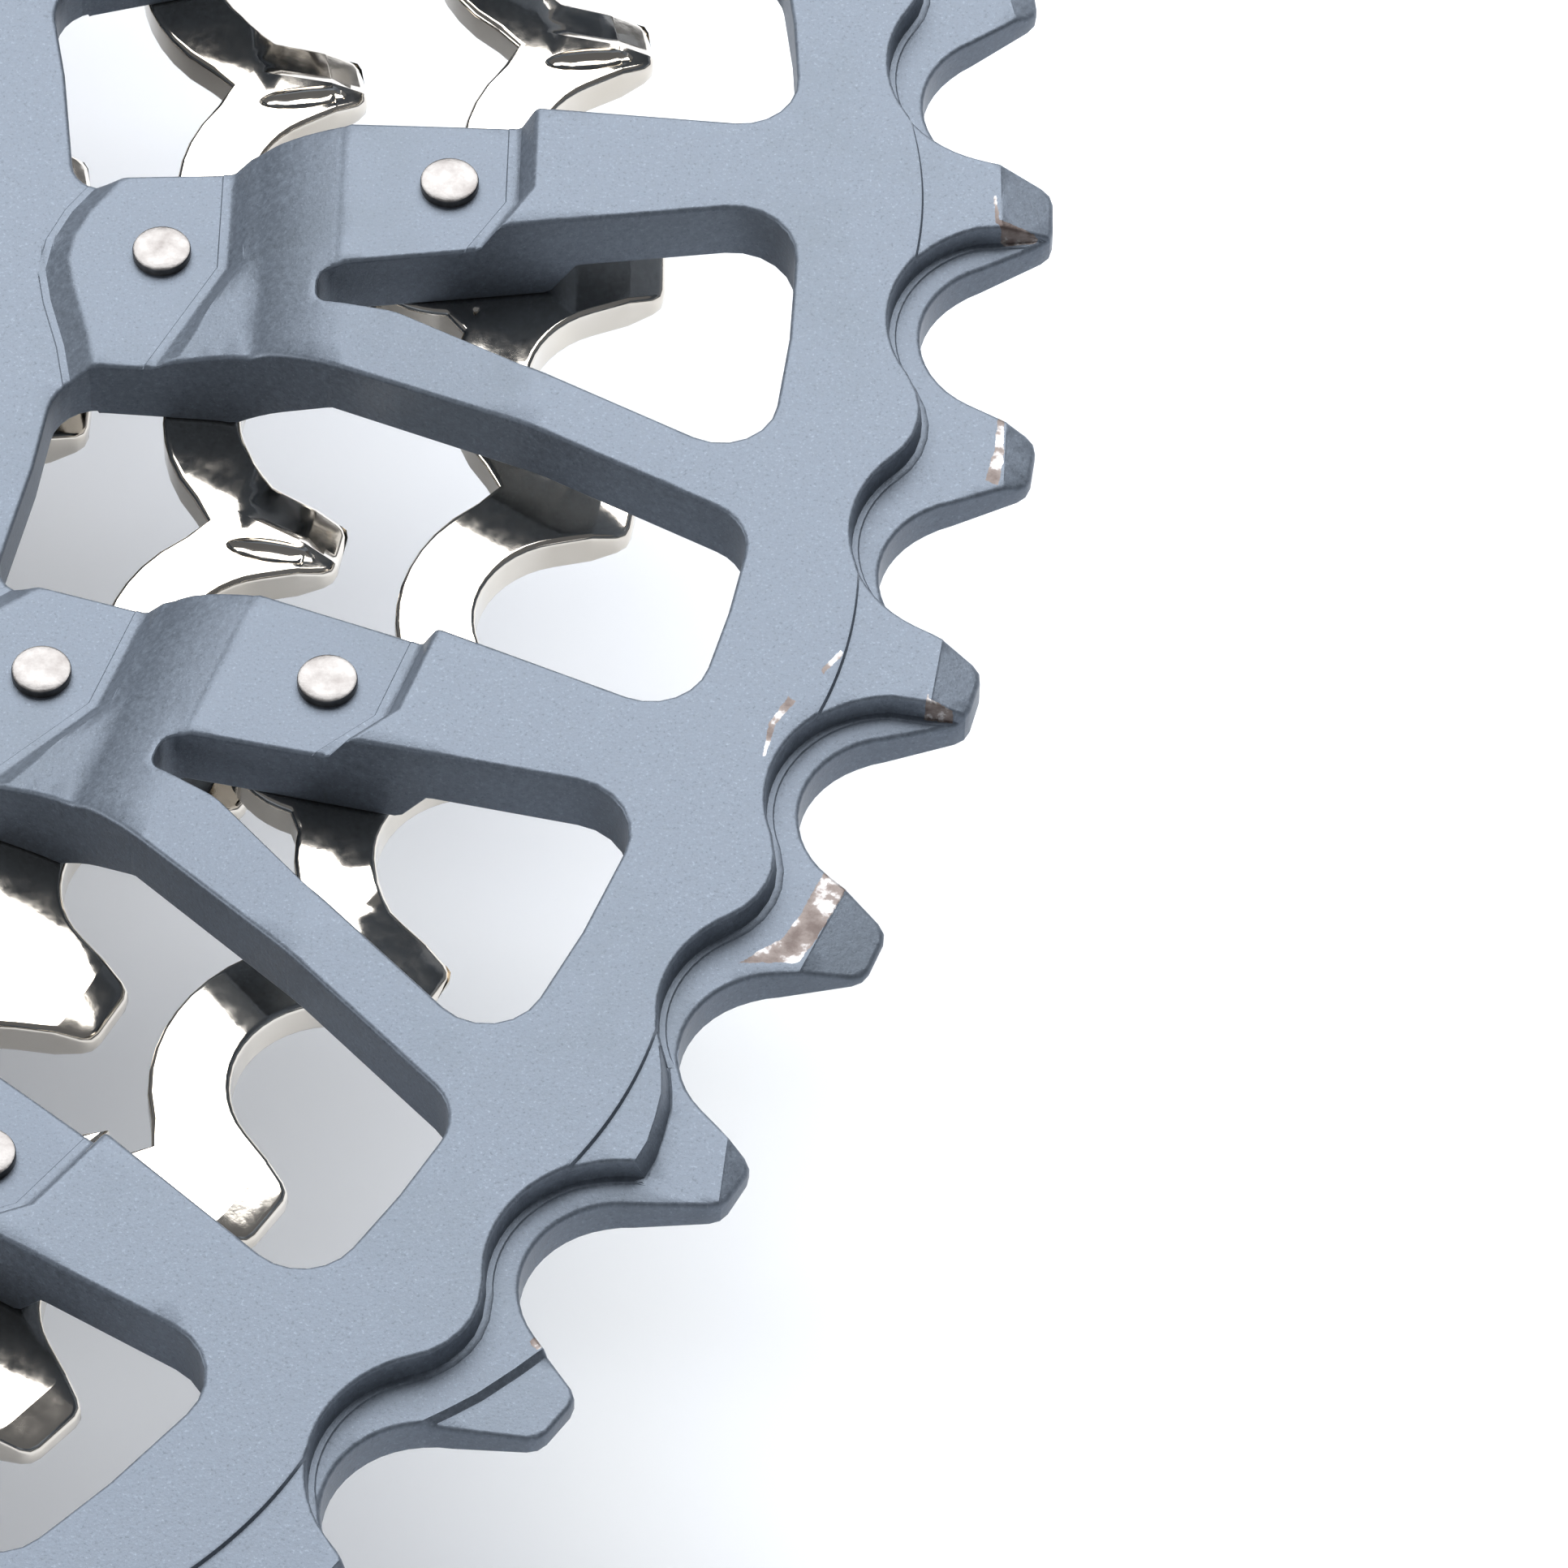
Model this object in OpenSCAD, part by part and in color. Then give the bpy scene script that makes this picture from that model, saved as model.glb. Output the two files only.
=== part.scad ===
// Twelve-speed bicycle cassette, 10 to 52 teeth, for a splined driver body.
// A stepped aluminium spider carries the largest teeth and two riveted rings;
// a dome of pinned steel sprockets hangs below it down to the lock end.
// +Z points to the wheel. Z = 0 is the outer end of the hub nose, on the axis.

/* [Chain and teeth] */
// Distance between two chain rollers
chain_pitch = 12.7; // [12.65:0.01:12.75]
// Radius of the seat that a roller rests in
seat_r = 3.97; // [3.9:0.01:4.02]
// Height of a tooth tip above the pitch circle
tip_height = 1.33; // [1.1:0.01:1.5]
// Distance from one sprocket to the next
sprocket_pitch = 3.45; // [3.4:0.01:3.6]
// Thickness of a steel sprocket
steel_t = 1.8; // [1.6:0.05:1.9]

/* [Spider] */
// Height of the rim face above the nose end
rim_z = 41.5; // [41.5:0.1:43]
// Thickness of the rim and of the outer arms
rim_t = 3.1; // [2.9:0.1:3.2]
// Number of arms between the rim and the inner ring
arm_count = 19; // [19]
// Inner radius of the toothed rim
rim_inner_r = 95.9; // [95.5:0.1:96.2]
// Outer radius of the inner ring
inner_ring_r = 65.3; // [65:0.1:65.6]
// Drop from the rim face to the first rivet pad
pad_1_drop = 1.5; // [1.4:0.1:1.7]
// Drop from the rim face to the second rivet pad
pad_2_drop = 4.9; // [4.8:0.1:5.1]
// Drop from the rim face to the inner ring
inner_ring_drop = 5.7; // [5.6:0.1:6]
// Depth of the pockets beside the narrow teeth
pocket_depth = 1.2; // [1:0.1:1.4]
// Number of spokes inside the inner ring
spoke_count = 14; // [14]

/* [Rivets and pins] */
// Radius of a rivet shank
rivet_r = 1.23; // [1.1:0.01:1.3]
// Radius of a rivet's set head
rivet_head_r = 2; // [1.8:0.1:2.2]
// Radius of a sprocket pin
pin_r = 1.1; // [1:0.05:1.2]
// Radius of the shoulder of a sprocket pin
pin_shoulder_r = 1.7; // [1.5:0.1:1.7]

/* [Driver and lock] */
// Radius of the plain bore that centres on the driver
driver_r = 17.2; // [17.1:0.05:17.3]
// Radius inside the spline crests
spline_crest_r = 16.2; // [16.1:0.05:16.4]
// Number of splines
spline_count = 18; // [18]
// Radius of the thread wall in the lock sleeve
thread_r = 12.4; // [12.3:0.05:12.5]
// Radial gap between the lock sleeve and the nose
running_gap = 0.05; // [0.03:0.01:0.09]

/* [Hidden] */

SPIDER_TEETH = 52;
// The first wide tooth sits half a tooth below +X, and so does the first arm.
FIRST_TOOTH = -180 / SPIDER_TEETH;
ARM_STEP = 360 / arm_count;
SPOKE_STEP = 360 / spoke_count;
CARRIER_RIVET_COUNT = 7;
// Pins in each joint of the dome, from the 32-28 joint down to the 14-12 joint.
PINS = [14, 12, 12, 10, 9, 8, 6];
SEAT_HALF_ANGLE = 65;
CORNER_STEPS = 4;

// Heights of the spider's levels.
pad_1_z = rim_z - pad_1_drop;
pad_2_z = rim_z - pad_2_drop;
inner_ring_z = rim_z - inner_ring_drop;
pocket_z = rim_z - pocket_depth;
rim_bottom_z = rim_z - rim_t;
spider_mid_z = (pocket_z + rim_bottom_z) / 2;
inner_ring_t = 3.4;
inner_ring_bottom_z = inner_ring_z - inner_ring_t;
wide_tooth_drop = 0.2;
// Arc of the step on a wide tooth: its radius, its place along the tooth and its half angle.
wide_step_r = 18.7;
wide_step_centre = 82.28;
wide_step_half_angle = 17;
ledge_w = 1.35;
pocket_cusp_r = 101.3;

// Rivet places on an arm, along it and across it.
pad_1_rivet = [81.23, 1.45];
pad_2_rivet = [69.15, 0.18];
rivet_proud = 0.4;
rivet_head_t = 0.6;

// Recess round the inner ring's lower edge, clear of the second ring's tabs.
tab_recess_inner_r = 64.5;
tab_recess_outer_r = 67;
tab_recess_gap = 0.15;

// Bosses under the inner ring that carry the 32-tooth ring.
boss_circle_r = 56.9;
boss_r = 3.1;

// Hub plate, spokes and driver carrier.
hub_outer_r = 31;
hub_inner_r = 22;
spoke_w = 6;
inner_ring_inner_r = 53.4;
carrier_flange_t = 2.5;
carrier_flange_r = 29.6;
carrier_rivet_circle_r = 26.2;
carrier_top_z = inner_ring_z + 0.6;
carrier_bottom_z = inner_ring_bottom_z - 6.5;
pilot_length = 4;

// Hub nose and lock sleeve.
nose_outer_r = 16;
nose_bore_r = 13.7;
nose_top_z = 10.9;
flange_bore_r = 14.6;
shoulder_z = 4;
clip_groove_r = 15.4;
clip_z = 0.5;
clip_t = 1;
clip_inner_r = 13.3;
sleeve_top_z = 10.6;
tool_crest_r = 11.5;
tool_root_r = 12.6;
tool_depth = 4.2;
TOOL_NOTCHES = 12;

function pitch_r(n) = chain_pitch / 2 / sin(180 / n);
function root_r(n) = pitch_r(n) - seat_r;
function tip_r(n) = pitch_r(n) + tip_height;
function flank_angle(n) = 24 + 70 / n;

// Place of a sprocket in the stack: 0 for 52 teeth up to 11 for 10 teeth.
function mid_z(place) = spider_mid_z - place * sprocket_pitch;
function top_z(place) = mid_z(place) + steel_t / 2;
function bottom_z(place) = mid_z(place) - steel_t / 2;
// Pins sit just inside the roots of the smaller sprocket of a pair.
function pin_circle_r(smaller) = root_r(smaller) - 2.6;

function turn(p, a) = [p.x * cos(a) - p.y * sin(a), p.x * sin(a) + p.y * cos(a)];
function polar(r, a) = [r * cos(a), r * sin(a)];
function unit(v) = v / norm(v);

// Distance along a ray from s in direction d to the circle of radius r.
function to_circle(s, d, r) = -(s * d) + sqrt(pow(s * d, 2) - s * s + r * r);

// One side of a tooth gap, from the seat's bottom to the tip circle.
function half_gap(n) =
  let (
    r = pitch_r(n),
    f = flank_angle(n),
    s = [r - seat_r * cos(SEAT_HALF_ANGLE), seat_r * sin(SEAT_HALF_ANGLE)],
    d = [cos(f), sin(f)],
    reach = to_circle(s, d, tip_r(n)),
    corner = s + reach * d,
    corner_angle = atan2(corner.y, corner.x),
    blend = min(0.5, reach * 0.4)
  )
  [
    for (i = [1:4]) [
      r - seat_r * cos(SEAT_HALF_ANGLE * i / 4),
      seat_r * sin(SEAT_HALF_ANGLE * i / 4)
    ],
    s + (reach - blend) * d,
    polar(tip_r(n), corner_angle + blend * 180 / PI / tip_r(n))
  ];

// Outline of a whole sprocket; gap 0 is centred on the angle given.
function sprocket_outline(n, gap_angle) =
  let (side = half_gap(n))
  [
    for (i = [0:n - 1])
      let (a = gap_angle + i * 360 / n)
      each [
        for (j = [len(side) - 1:-1:0]) turn([side[j].x, -side[j].y], a),
        turn([root_r(n), 0], a),
        for (j = [0:len(side) - 1]) turn(side[j], a)
      ]
  ];

// Inner edge of a ring that keeps a band of even width behind every seat.
function band_outline(n, band, cusp_r, gap_angle) =
  let (r = pitch_r(n), disc = seat_r + band, half = 180 / n)
  [
    for (i = [0:n - 1], j = [-3:2])
      let (
        a = half * j / 3,
        across = r * sin(a),
        along = r * cos(a) - sqrt(disc * disc - across * across)
      )
      polar(min(along, cusp_r), gap_angle + i * 360 / n + a)
  ];

// Rounds one corner of a polygon with an arc of the given radius.
function corner_arc(before, p, after, radius) =
  let (
    u = unit(before - p),
    v = unit(after - p),
    half = acos(max(-1, min(1, u * v))) / 2,
    tangent = min(radius / tan(half), 0.48 * norm(before - p), 0.48 * norm(after - p)),
    r = tangent * tan(half),
    centre = p + unit(u + v) * r / sin(half),
    start = p + u * tangent - centre,
    end = p + v * tangent - centre,
    turn_by = atan2(start.x * end.y - start.y * end.x, start * end)
  )
  [for (i = [0:CORNER_STEPS]) centre + turn(start, turn_by * i / CORNER_STEPS)];

// Each corner is [point, radius]; radius 0 keeps the corner.
function rounded(corners) =
  let (n = len(corners))
  [
    for (i = [0:n - 1])
      each corners[i][1] == 0
        ? [corners[i][0]]
        : corner_arc(corners[(i + n - 1) % n][0], corners[i][0], corners[(i + 1) % n][0], corners[i][1])
  ];

// Window between an arm and its brace, with a slot at its inner end.
brace_window = rounded([
  [[75.9, -3.0], 0.7],
  [[75.9, -4.5], 0.7],
  [[79.2, -5.6], 4],
  [[84.5, -9.1], 8],
  [[94.75, -14.4], 2.8],
  [polar(rim_inner_r, -4.5), 0],
  [[rim_inner_r, -0.2], 2.6]
]);

// Window between a brace and the next arm.
arm_window = rounded([
  [polar(inner_ring_r, -9.5), 0],
  [[65.1, -5.9], 2],
  [[73, -6.3], 8],
  [[94.3, -17.35], 2.2],
  [polar(rim_inner_r + 0.05, -13.2), 0],
  [turn([95.85, 3.9], -ARM_STEP), 2.4],
  [turn([83.5, 4.75], -ARM_STEP), 20],
  [turn([74, 4.8], -ARM_STEP), 20],
  [turn([65.2, 4.3], -ARM_STEP), 1.5]
]);

// Window between two spokes of the hub.
spoke_window = rounded([
  [turn([hub_outer_r, spoke_w / 2], -SPOKE_STEP / 2), 1.5],
  [turn([inner_ring_inner_r, spoke_w / 2], -SPOKE_STEP / 2), 4],
  [turn([inner_ring_inner_r, -spoke_w / 2], SPOKE_STEP / 2), 4],
  [turn([hub_outer_r, -spoke_w / 2], SPOKE_STEP / 2), 1.5]
]);

// Height of a straight line between two points [along, height], at the place along it that is given.
function on_line(a, b, along) = a.y + (b.y - a.y) * (along - a.x) / (b.x - a.x);

// Corners of the long slopes that the arms and braces share.
slope_low = [73.3, pad_2_z + 1.45];
slope_high = [76.4, pad_1_z - 0.15];
under_low = [72.4, top_z(2)];
under_high = [76.6, top_z(1)];
root_end = 76.2;
rim_edge_r = 84.85;
root_top_z = on_line(slope_low, slope_high, root_end);
root_under_z = on_line(under_low, under_high, root_end);

// Side profiles as [along the arm, height]. Their ends run inside the ring or the rim, which give the flats there.
root_profile = [
  [63.5, inner_ring_z - 0.8],
  [65.3, pad_2_z],
  [71.85, pad_2_z],
  [72.1, pad_2_z + 0.15],
  [72.9, pad_2_z + 1.15],
  slope_low,
  [root_end, root_top_z],
  [root_end, root_under_z],
  under_low,
  [63.5, top_z(2)]
];

// The arm beyond the slot, with its first pad and the step up to the rim.
arm_profile = [
  [root_end, root_top_z],
  slope_high,
  [77, pad_1_z],
  [83.95, pad_1_z],
  [84.15, pad_1_z + 0.15],
  [84.7, rim_z - 0.25],
  [86, rim_z - 0.25],
  [87.35, rim_z - 1.1],
  [87.35, rim_bottom_z + 1],
  [85.4, top_z(1)],
  under_high,
  [root_end, root_under_z]
];

// The brace beyond the slot, which rises in one long ramp to the rim.
brace_profile = [
  [root_end, root_top_z],
  slope_high,
  [83.9, rim_z - 0.04],
  [85.5, rim_z - 0.04],
  [88, rim_z - 1.1],
  [88, rim_bottom_z + 0.55],
  under_high,
  [root_end, root_under_z]
];

// Higher ground beside the slanted end of a pad's outer step: [away from the step, height].
pad_1_bevel_at = [83.95, 0.5];
pad_1_bevel_angle = -31;
pad_1_bevel_w = 0.9;
pad_1_bevel_length = 4.2;
pad_1_bevel = [
  [0, pad_1_z],
  [0.2, pad_1_z + 0.15],
  [0.75, rim_z - 0.25],
  [1.5, rim_z - 0.25],
  [2.4, rim_z - 1],
  [2.4, top_z(1) + 1],
  [0, top_z(1) + 1]
];
pad_2_bevel_at = [71.85, -0.6];
pad_2_bevel_angle = -27;
pad_2_bevel_length = 7.5;
pad_2_bevel = [
  [0, pad_2_z],
  [0.25, pad_2_z + 0.15],
  [1.05, pad_2_z + 1.15],
  [1.3, pad_2_z + 1.35],
  [3.6, pad_2_z + 1.45],
  [3.6, top_z(2) + 2.3],
  [0, top_z(2) + 2.3]
];

// Part of the rim's flat that reaches in beside the slanted end of the first pad.
rim_corner =
  let (
    slant = turn([0, -1], pad_1_bevel_angle),
    start = pad_1_bevel_at + turn([pad_1_bevel_w, 0], pad_1_bevel_angle),
    last = start + slant * pad_1_bevel_length
  )
  [start - slant, last, [86, last.y], [86, start.y + 1]];

// Low ground round one narrow tooth, whose middle is on +X: the tooth, both of its gaps and a
// ledge along them. The ledge runs out over the side of the next tooth and stops short of the last.
pocket_outline =
  let (
    r = pitch_r(SPIDER_TEETH),
    half = 180 / SPIDER_TEETH,
    reach = seat_r + ledge_w,
    near_seat = polar(r, -half) + [0, ledge_w],
    far_seat = polar(r, half),
    flank = half + flank_angle(SPIDER_TEETH),
    outside = tip_r(SPIDER_TEETH) + 1.5
  )
  concat(
    [polar(outside, -half)],
    [for (t = [85:-13:-45]) near_seat + polar(reach, 180 + t)],
    [polar(pocket_cusp_r, 0)],
    [for (t = [45:-11:-65]) far_seat + polar(reach, 180 + t)],
    [far_seat + polar(reach, 180 - SEAT_HALF_ANGLE) + polar(7, flank)]
  );

// Face of a wide tooth, whose middle is on +X, outside its bulging step.
wide_tooth_outline = concat(
  [for (i = [-4:4]) [wide_step_centre, 0] + polar(wide_step_r, wide_step_half_angle * i / 4)],
  [polar(tip_r(SPIDER_TEETH) + 1.5, 4), polar(tip_r(SPIDER_TEETH) + 1.5, -4)]
);

module on_each_arm() {
  for (i = [0:arm_count - 1]) rotate(FIRST_TOOTH - i * ARM_STEP) children();
}

module on_circle(count, radius, phase = 0) {
  for (i = [0:count - 1]) rotate(phase + i * 360 / count) translate([radius, 0, 0]) children();
}

// Stands a side profile up along the arm, as wide as the two sides given.
module across_arm(profile, from_y, to_y) {
  translate([0, to_y, 0]) rotate([90, 0, 0]) linear_extrude(to_y - from_y) polygon(profile);
}

module ring(outer_r, inner_r, low_z, high_z) {
  translate([0, 0, low_z]) difference() {
    cylinder(h = high_z - low_z, r = outer_r, $fn = 180);
    translate([0, 0, -1]) cylinder(h = high_z - low_z + 2, r = inner_r, $fn = 180);
  }
}

module spider_plan() {
  difference() {
    polygon(sprocket_outline(SPIDER_TEETH, 0));
    circle(r = hub_inner_r, $fn = 96);
    on_each_arm() polygon(brace_window);
    on_each_arm() polygon(arm_window);
    for (i = [0:spoke_count - 1]) rotate(i * SPOKE_STEP) polygon(spoke_window);
  }
}

// One arm and its brace before their outline is cut.
module arm_block() {
  across_arm(root_profile, -8.4, 6.4);
  across_arm(arm_profile, -3.8, 6.4);
  across_arm(brace_profile, -20.5, -3.8);
  translate(pad_1_bevel_at) rotate(pad_1_bevel_angle) across_arm(pad_1_bevel, -pad_1_bevel_length, 0);
  translate(pad_2_bevel_at) rotate(pad_2_bevel_angle) across_arm(pad_2_bevel, -pad_2_bevel_length, 0);
}

// The toothed rim before its outline is cut.
module rim_block() {
  translate([0, 0, rim_bottom_z]) linear_extrude(rim_t) {
    difference() {
      circle(r = 108, $fn = 180);
      circle(r = rim_edge_r, $fn = 180);
    }
    on_each_arm() polygon(rim_corner);
  }
}

module sprocket_52_spider() {
  color("slategray") difference() {
    union() {
      intersection() {
        translate([0, 0, inner_ring_bottom_z - 1])
          linear_extrude(rim_z - inner_ring_bottom_z + 2) spider_plan();
        union() {
          rim_block();
          ring(66.5, hub_inner_r - 1, inner_ring_bottom_z, inner_ring_z);
          on_each_arm() arm_block();
        }
      }
      on_circle(spoke_count, boss_circle_r, SPOKE_STEP / 2)
        translate([0, 0, top_z(3)]) cylinder(h = inner_ring_z - top_z(3) - 1, r = boss_r, $fn = 48);
    }
    for (i = [0:SPIDER_TEETH / 2 - 1]) {
      // A wide tooth stands a little lower than the rim, outside a step that bulges between its pockets.
      rotate(FIRST_TOOTH - 2 * i * 360 / SPIDER_TEETH)
        translate([0, 0, rim_z - wide_tooth_drop]) linear_extrude(1) polygon(wide_tooth_outline);
      rotate(FIRST_TOOTH - (2 * i + 1) * 360 / SPIDER_TEETH)
        translate([0, 0, pocket_z]) linear_extrude(pocket_depth + 1) polygon(pocket_outline);
    }
    ring(tab_recess_outer_r, tab_recess_inner_r, inner_ring_bottom_z - 1, top_z(2) + tab_recess_gap);
    on_each_arm() translate([pad_1_rivet.x, pad_1_rivet.y, top_z(1) - 1]) cylinder(h = 9, r = rivet_r, $fn = 48);
    on_each_arm() translate([pad_2_rivet.x, pad_2_rivet.y, top_z(2) - 1]) cylinder(h = 9, r = rivet_r, $fn = 48);
    on_circle(spoke_count, boss_circle_r, SPOKE_STEP / 2)
      translate([0, 0, top_z(3) - 1]) cylinder(h = 9, r = rivet_r, $fn = 48);
    on_circle(CARRIER_RIVET_COUNT, carrier_rivet_circle_r)
      translate([0, 0, inner_ring_bottom_z - 1]) cylinder(h = 9, r = rivet_r, $fn = 48);
  }
}

// A riveted ring: a band of even width behind the teeth, with a round tab at each rivet.
module riveted_ring(place, n, gap_angle, rivet) {
  tab_r = 4.3;
  band_r = root_r(n) - 2.6;
  translate([0, 0, bottom_z(place)]) linear_extrude(steel_t) difference() {
    polygon(sprocket_outline(n, gap_angle));
    difference() {
      polygon(band_outline(n, 3.3, root_r(n) - 0.45, gap_angle));
      on_each_arm() translate(rivet) circle(r = tab_r, $fn = 48);
      on_each_arm() polygon([
        [rivet.x, rivet.y - tab_r],
        [band_r, rivet.y - tab_r - 1.5],
        [band_r, rivet.y + tab_r + 1.5],
        [rivet.x, rivet.y + tab_r]
      ]);
    }
    on_each_arm() translate(rivet) circle(r = rivet_r, $fn = 48);
  }
}

module sprocket_44() {
  color("silver") riveted_ring(1, 44, 0.69, pad_1_rivet);
}

module sprocket_38() {
  color("silver") riveted_ring(2, 38, 1.69, pad_2_rivet);
}

// A sprocket of the dome, from its bore out to its teeth, with holes for the pins on both sides.
module dome_sprocket(place, n, bore_r) {
  color("lightgray") difference() {
    translate([0, 0, bottom_z(place)]) linear_extrude(steel_t) difference() {
      polygon(sprocket_outline(n, 0));
      circle(r = bore_r, $fn = 96);
    }
    translate([0, 0, bottom_z(place) - 1]) children();
  }
}

module pin_holes(smaller, count, phase = 0) {
  on_circle(count, pin_circle_r(smaller), phase) cylinder(h = steel_t + 2, r = pin_r, $fn = 48);
}

module relief_holes(count, radius, hole_r, phase = 0) {
  on_circle(count, radius, phase) cylinder(h = steel_t + 2, r = hole_r, $fn = 48);
}

module sprocket_32() {
  dome_sprocket(3, 32, pin_circle_r(28) - 2.2) {
    on_circle(spoke_count, boss_circle_r, SPOKE_STEP / 2) cylinder(h = steel_t + 2, r = rivet_r, $fn = 48);
    pin_holes(28, PINS[0]);
    relief_holes(PINS[0], 54.6, 2.6);
  }
}

module sprocket_28() {
  dome_sprocket(4, 28, pin_circle_r(24) - 2.2) {
    pin_holes(28, PINS[0]);
    pin_holes(24, PINS[1], 15);
    relief_holes(PINS[0], 46.2, 2.9, 180 / PINS[0]);
  }
}

module sprocket_24() {
  dome_sprocket(5, 24, pin_circle_r(21) - 2.2) {
    pin_holes(24, PINS[1], 15);
    pin_holes(21, PINS[2]);
    relief_holes(PINS[1], 39.2, 2.3);
  }
}

module sprocket_21() {
  dome_sprocket(6, 21, pin_circle_r(18) - 2.2) {
    pin_holes(21, PINS[2]);
    pin_holes(18, PINS[3], 18);
    relief_holes(PINS[3], 33.4, 2.2);
  }
}

module sprocket_18() {
  dome_sprocket(7, 18, pin_circle_r(16) - 2.2) {
    pin_holes(18, PINS[3], 18);
    pin_holes(16, PINS[4]);
  }
}

module sprocket_16() {
  dome_sprocket(8, 16, pin_circle_r(14) - 2.2) {
    pin_holes(16, PINS[4]);
    pin_holes(14, PINS[5], 22.5);
  }
}

module sprocket_14() {
  dome_sprocket(9, 14, nose_outer_r) {
    pin_holes(14, PINS[5], 22.5);
    pin_holes(12, PINS[6]);
  }
}

module sprocket_12() {
  dome_sprocket(10, 12, nose_outer_r) pin_holes(12, PINS[6]);
}

// The smallest sprocket is one piece with the nose tube that the next two are pressed on.
module sprocket_10_nose() {
  color("lightgray") difference() {
    union() {
      translate([0, 0, bottom_z(11)]) linear_extrude(steel_t) polygon(sprocket_outline(10, 0));
      cylinder(h = nose_top_z, r = nose_outer_r, $fn = 96);
      translate([0, 0, bottom_z(11)]) cylinder(h = bottom_z(10) - bottom_z(11), r = 16.5, $fn = 96);
    }
    translate([0, 0, -1]) cylinder(h = nose_top_z + 2, r = nose_bore_r, $fn = 96);
    translate([0, 0, -1]) cylinder(h = shoulder_z + 1, r = flange_bore_r, $fn = 96);
    translate([0, 0, clip_z - 0.05]) cylinder(h = clip_t + 0.1, r = clip_groove_r, $fn = 96);
  }
}

// A rivet with a straight end standing proud on top and a set head underneath.
module rivet(low_z, high_z) {
  translate([0, 0, low_z - rivet_head_t]) cylinder(h = high_z + rivet_proud - low_z + rivet_head_t, r = rivet_r, $fn = 48);
  translate([0, 0, low_z - rivet_head_t]) cylinder(h = rivet_head_t, r = rivet_head_r, $fn = 48);
}

module rivets_44() {
  color("gainsboro") on_each_arm() translate(pad_1_rivet) rivet(bottom_z(1), pad_1_z);
}

module rivets_38() {
  color("gainsboro") on_each_arm() translate(pad_2_rivet) rivet(bottom_z(2), pad_2_z);
}

module rivets_32() {
  color("gainsboro") on_circle(spoke_count, boss_circle_r, SPOKE_STEP / 2) rivet(bottom_z(3), inner_ring_z);
}

module rivets_carrier() {
  color("gainsboro") on_circle(CARRIER_RIVET_COUNT, carrier_rivet_circle_r)
    rivet(inner_ring_bottom_z - carrier_flange_t, inner_ring_z);
}

// Splined steel bush in the spider's hub that the driver turns.
module driver_carrier() {
  color("dimgray") difference() {
    union() {
      translate([0, 0, carrier_bottom_z])
        cylinder(h = carrier_top_z - carrier_bottom_z, r = hub_inner_r, $fn = 96);
      translate([0, 0, inner_ring_bottom_z - carrier_flange_t])
        cylinder(h = carrier_flange_t, r = carrier_flange_r, $fn = 96);
    }
    translate([0, 0, carrier_bottom_z - 1])
      cylinder(h = carrier_top_z - carrier_bottom_z + 2, r = spline_crest_r, $fn = 96);
    translate([0, 0, carrier_top_z - pilot_length]) cylinder(h = pilot_length + 1, r = driver_r, $fn = 96);
    for (i = [0:spline_count - 1]) rotate(i * 360 / spline_count)
      translate([spline_crest_r - 1, -1.4, carrier_bottom_z - 1])
        cube([driver_r - spline_crest_r + 0.9, 2.8, carrier_top_z - carrier_bottom_z - pilot_length + 1]);
    on_circle(CARRIER_RIVET_COUNT, carrier_rivet_circle_r)
      translate([0, 0, carrier_bottom_z]) cylinder(h = 20, r = rivet_r, $fn = 48);
  }
}

// Pins between two neighbouring sprockets; a shoulder keeps them apart.
module pins(place, smaller, count, phase = 0) {
  color("gainsboro") on_circle(count, pin_circle_r(smaller), phase) {
    translate([0, 0, bottom_z(place + 1)]) cylinder(h = top_z(place) - bottom_z(place + 1), r = pin_r, $fn = 48);
    translate([0, 0, top_z(place + 1)])
      cylinder(h = bottom_z(place) - top_z(place + 1), r = pin_shoulder_r, $fn = 48);
  }
}

module pins_32_28() {
  pins(3, 28, PINS[0]);
}

module pins_28_24() {
  pins(4, 24, PINS[1], 15);
}

module pins_24_21() {
  pins(5, 21, PINS[2]);
}

module pins_21_18() {
  pins(6, 18, PINS[3], 18);
}

module pins_18_16() {
  pins(7, 16, PINS[4]);
}

module pins_16_14() {
  pins(8, 14, PINS[5], 22.5);
}

module pins_14_12() {
  pins(9, 12, PINS[6]);
}

// Captive threaded tube that draws the cassette onto the driver.
module lock_sleeve() {
  flange_z = clip_z + clip_t + 0.1;
  color("darkgray") difference() {
    union() {
      translate([0, 0, clip_z - 0.2]) cylinder(h = 2, r = clip_inner_r - 0.1, $fn = 96);
      translate([0, 0, flange_z])
        cylinder(h = shoulder_z - 0.05 - flange_z, r = flange_bore_r - running_gap, $fn = 96);
      translate([0, 0, flange_z]) cylinder(h = sleeve_top_z - flange_z, r = nose_bore_r - running_gap, $fn = 96);
    }
    translate([0, 0, -1]) cylinder(h = sleeve_top_z + 2, r = tool_crest_r, $fn = 96);
    translate([0, 0, tool_depth]) cylinder(h = sleeve_top_z, r = thread_r, $fn = 96);
    on_circle(TOOL_NOTCHES, tool_crest_r + 0.3)
      translate([0, 0, -1]) cylinder(h = tool_depth + 1, r = tool_root_r - tool_crest_r - 0.3, $fn = 32);
  }
}

// Split ring that keeps the lock sleeve in the nose.
module lock_circlip() {
  color("dimgray") difference() {
    ring(clip_groove_r - 0.05, clip_inner_r, clip_z, clip_z + clip_t);
    translate([0, -2, 0]) cube([20, 4, 3]);
  }
}

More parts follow.
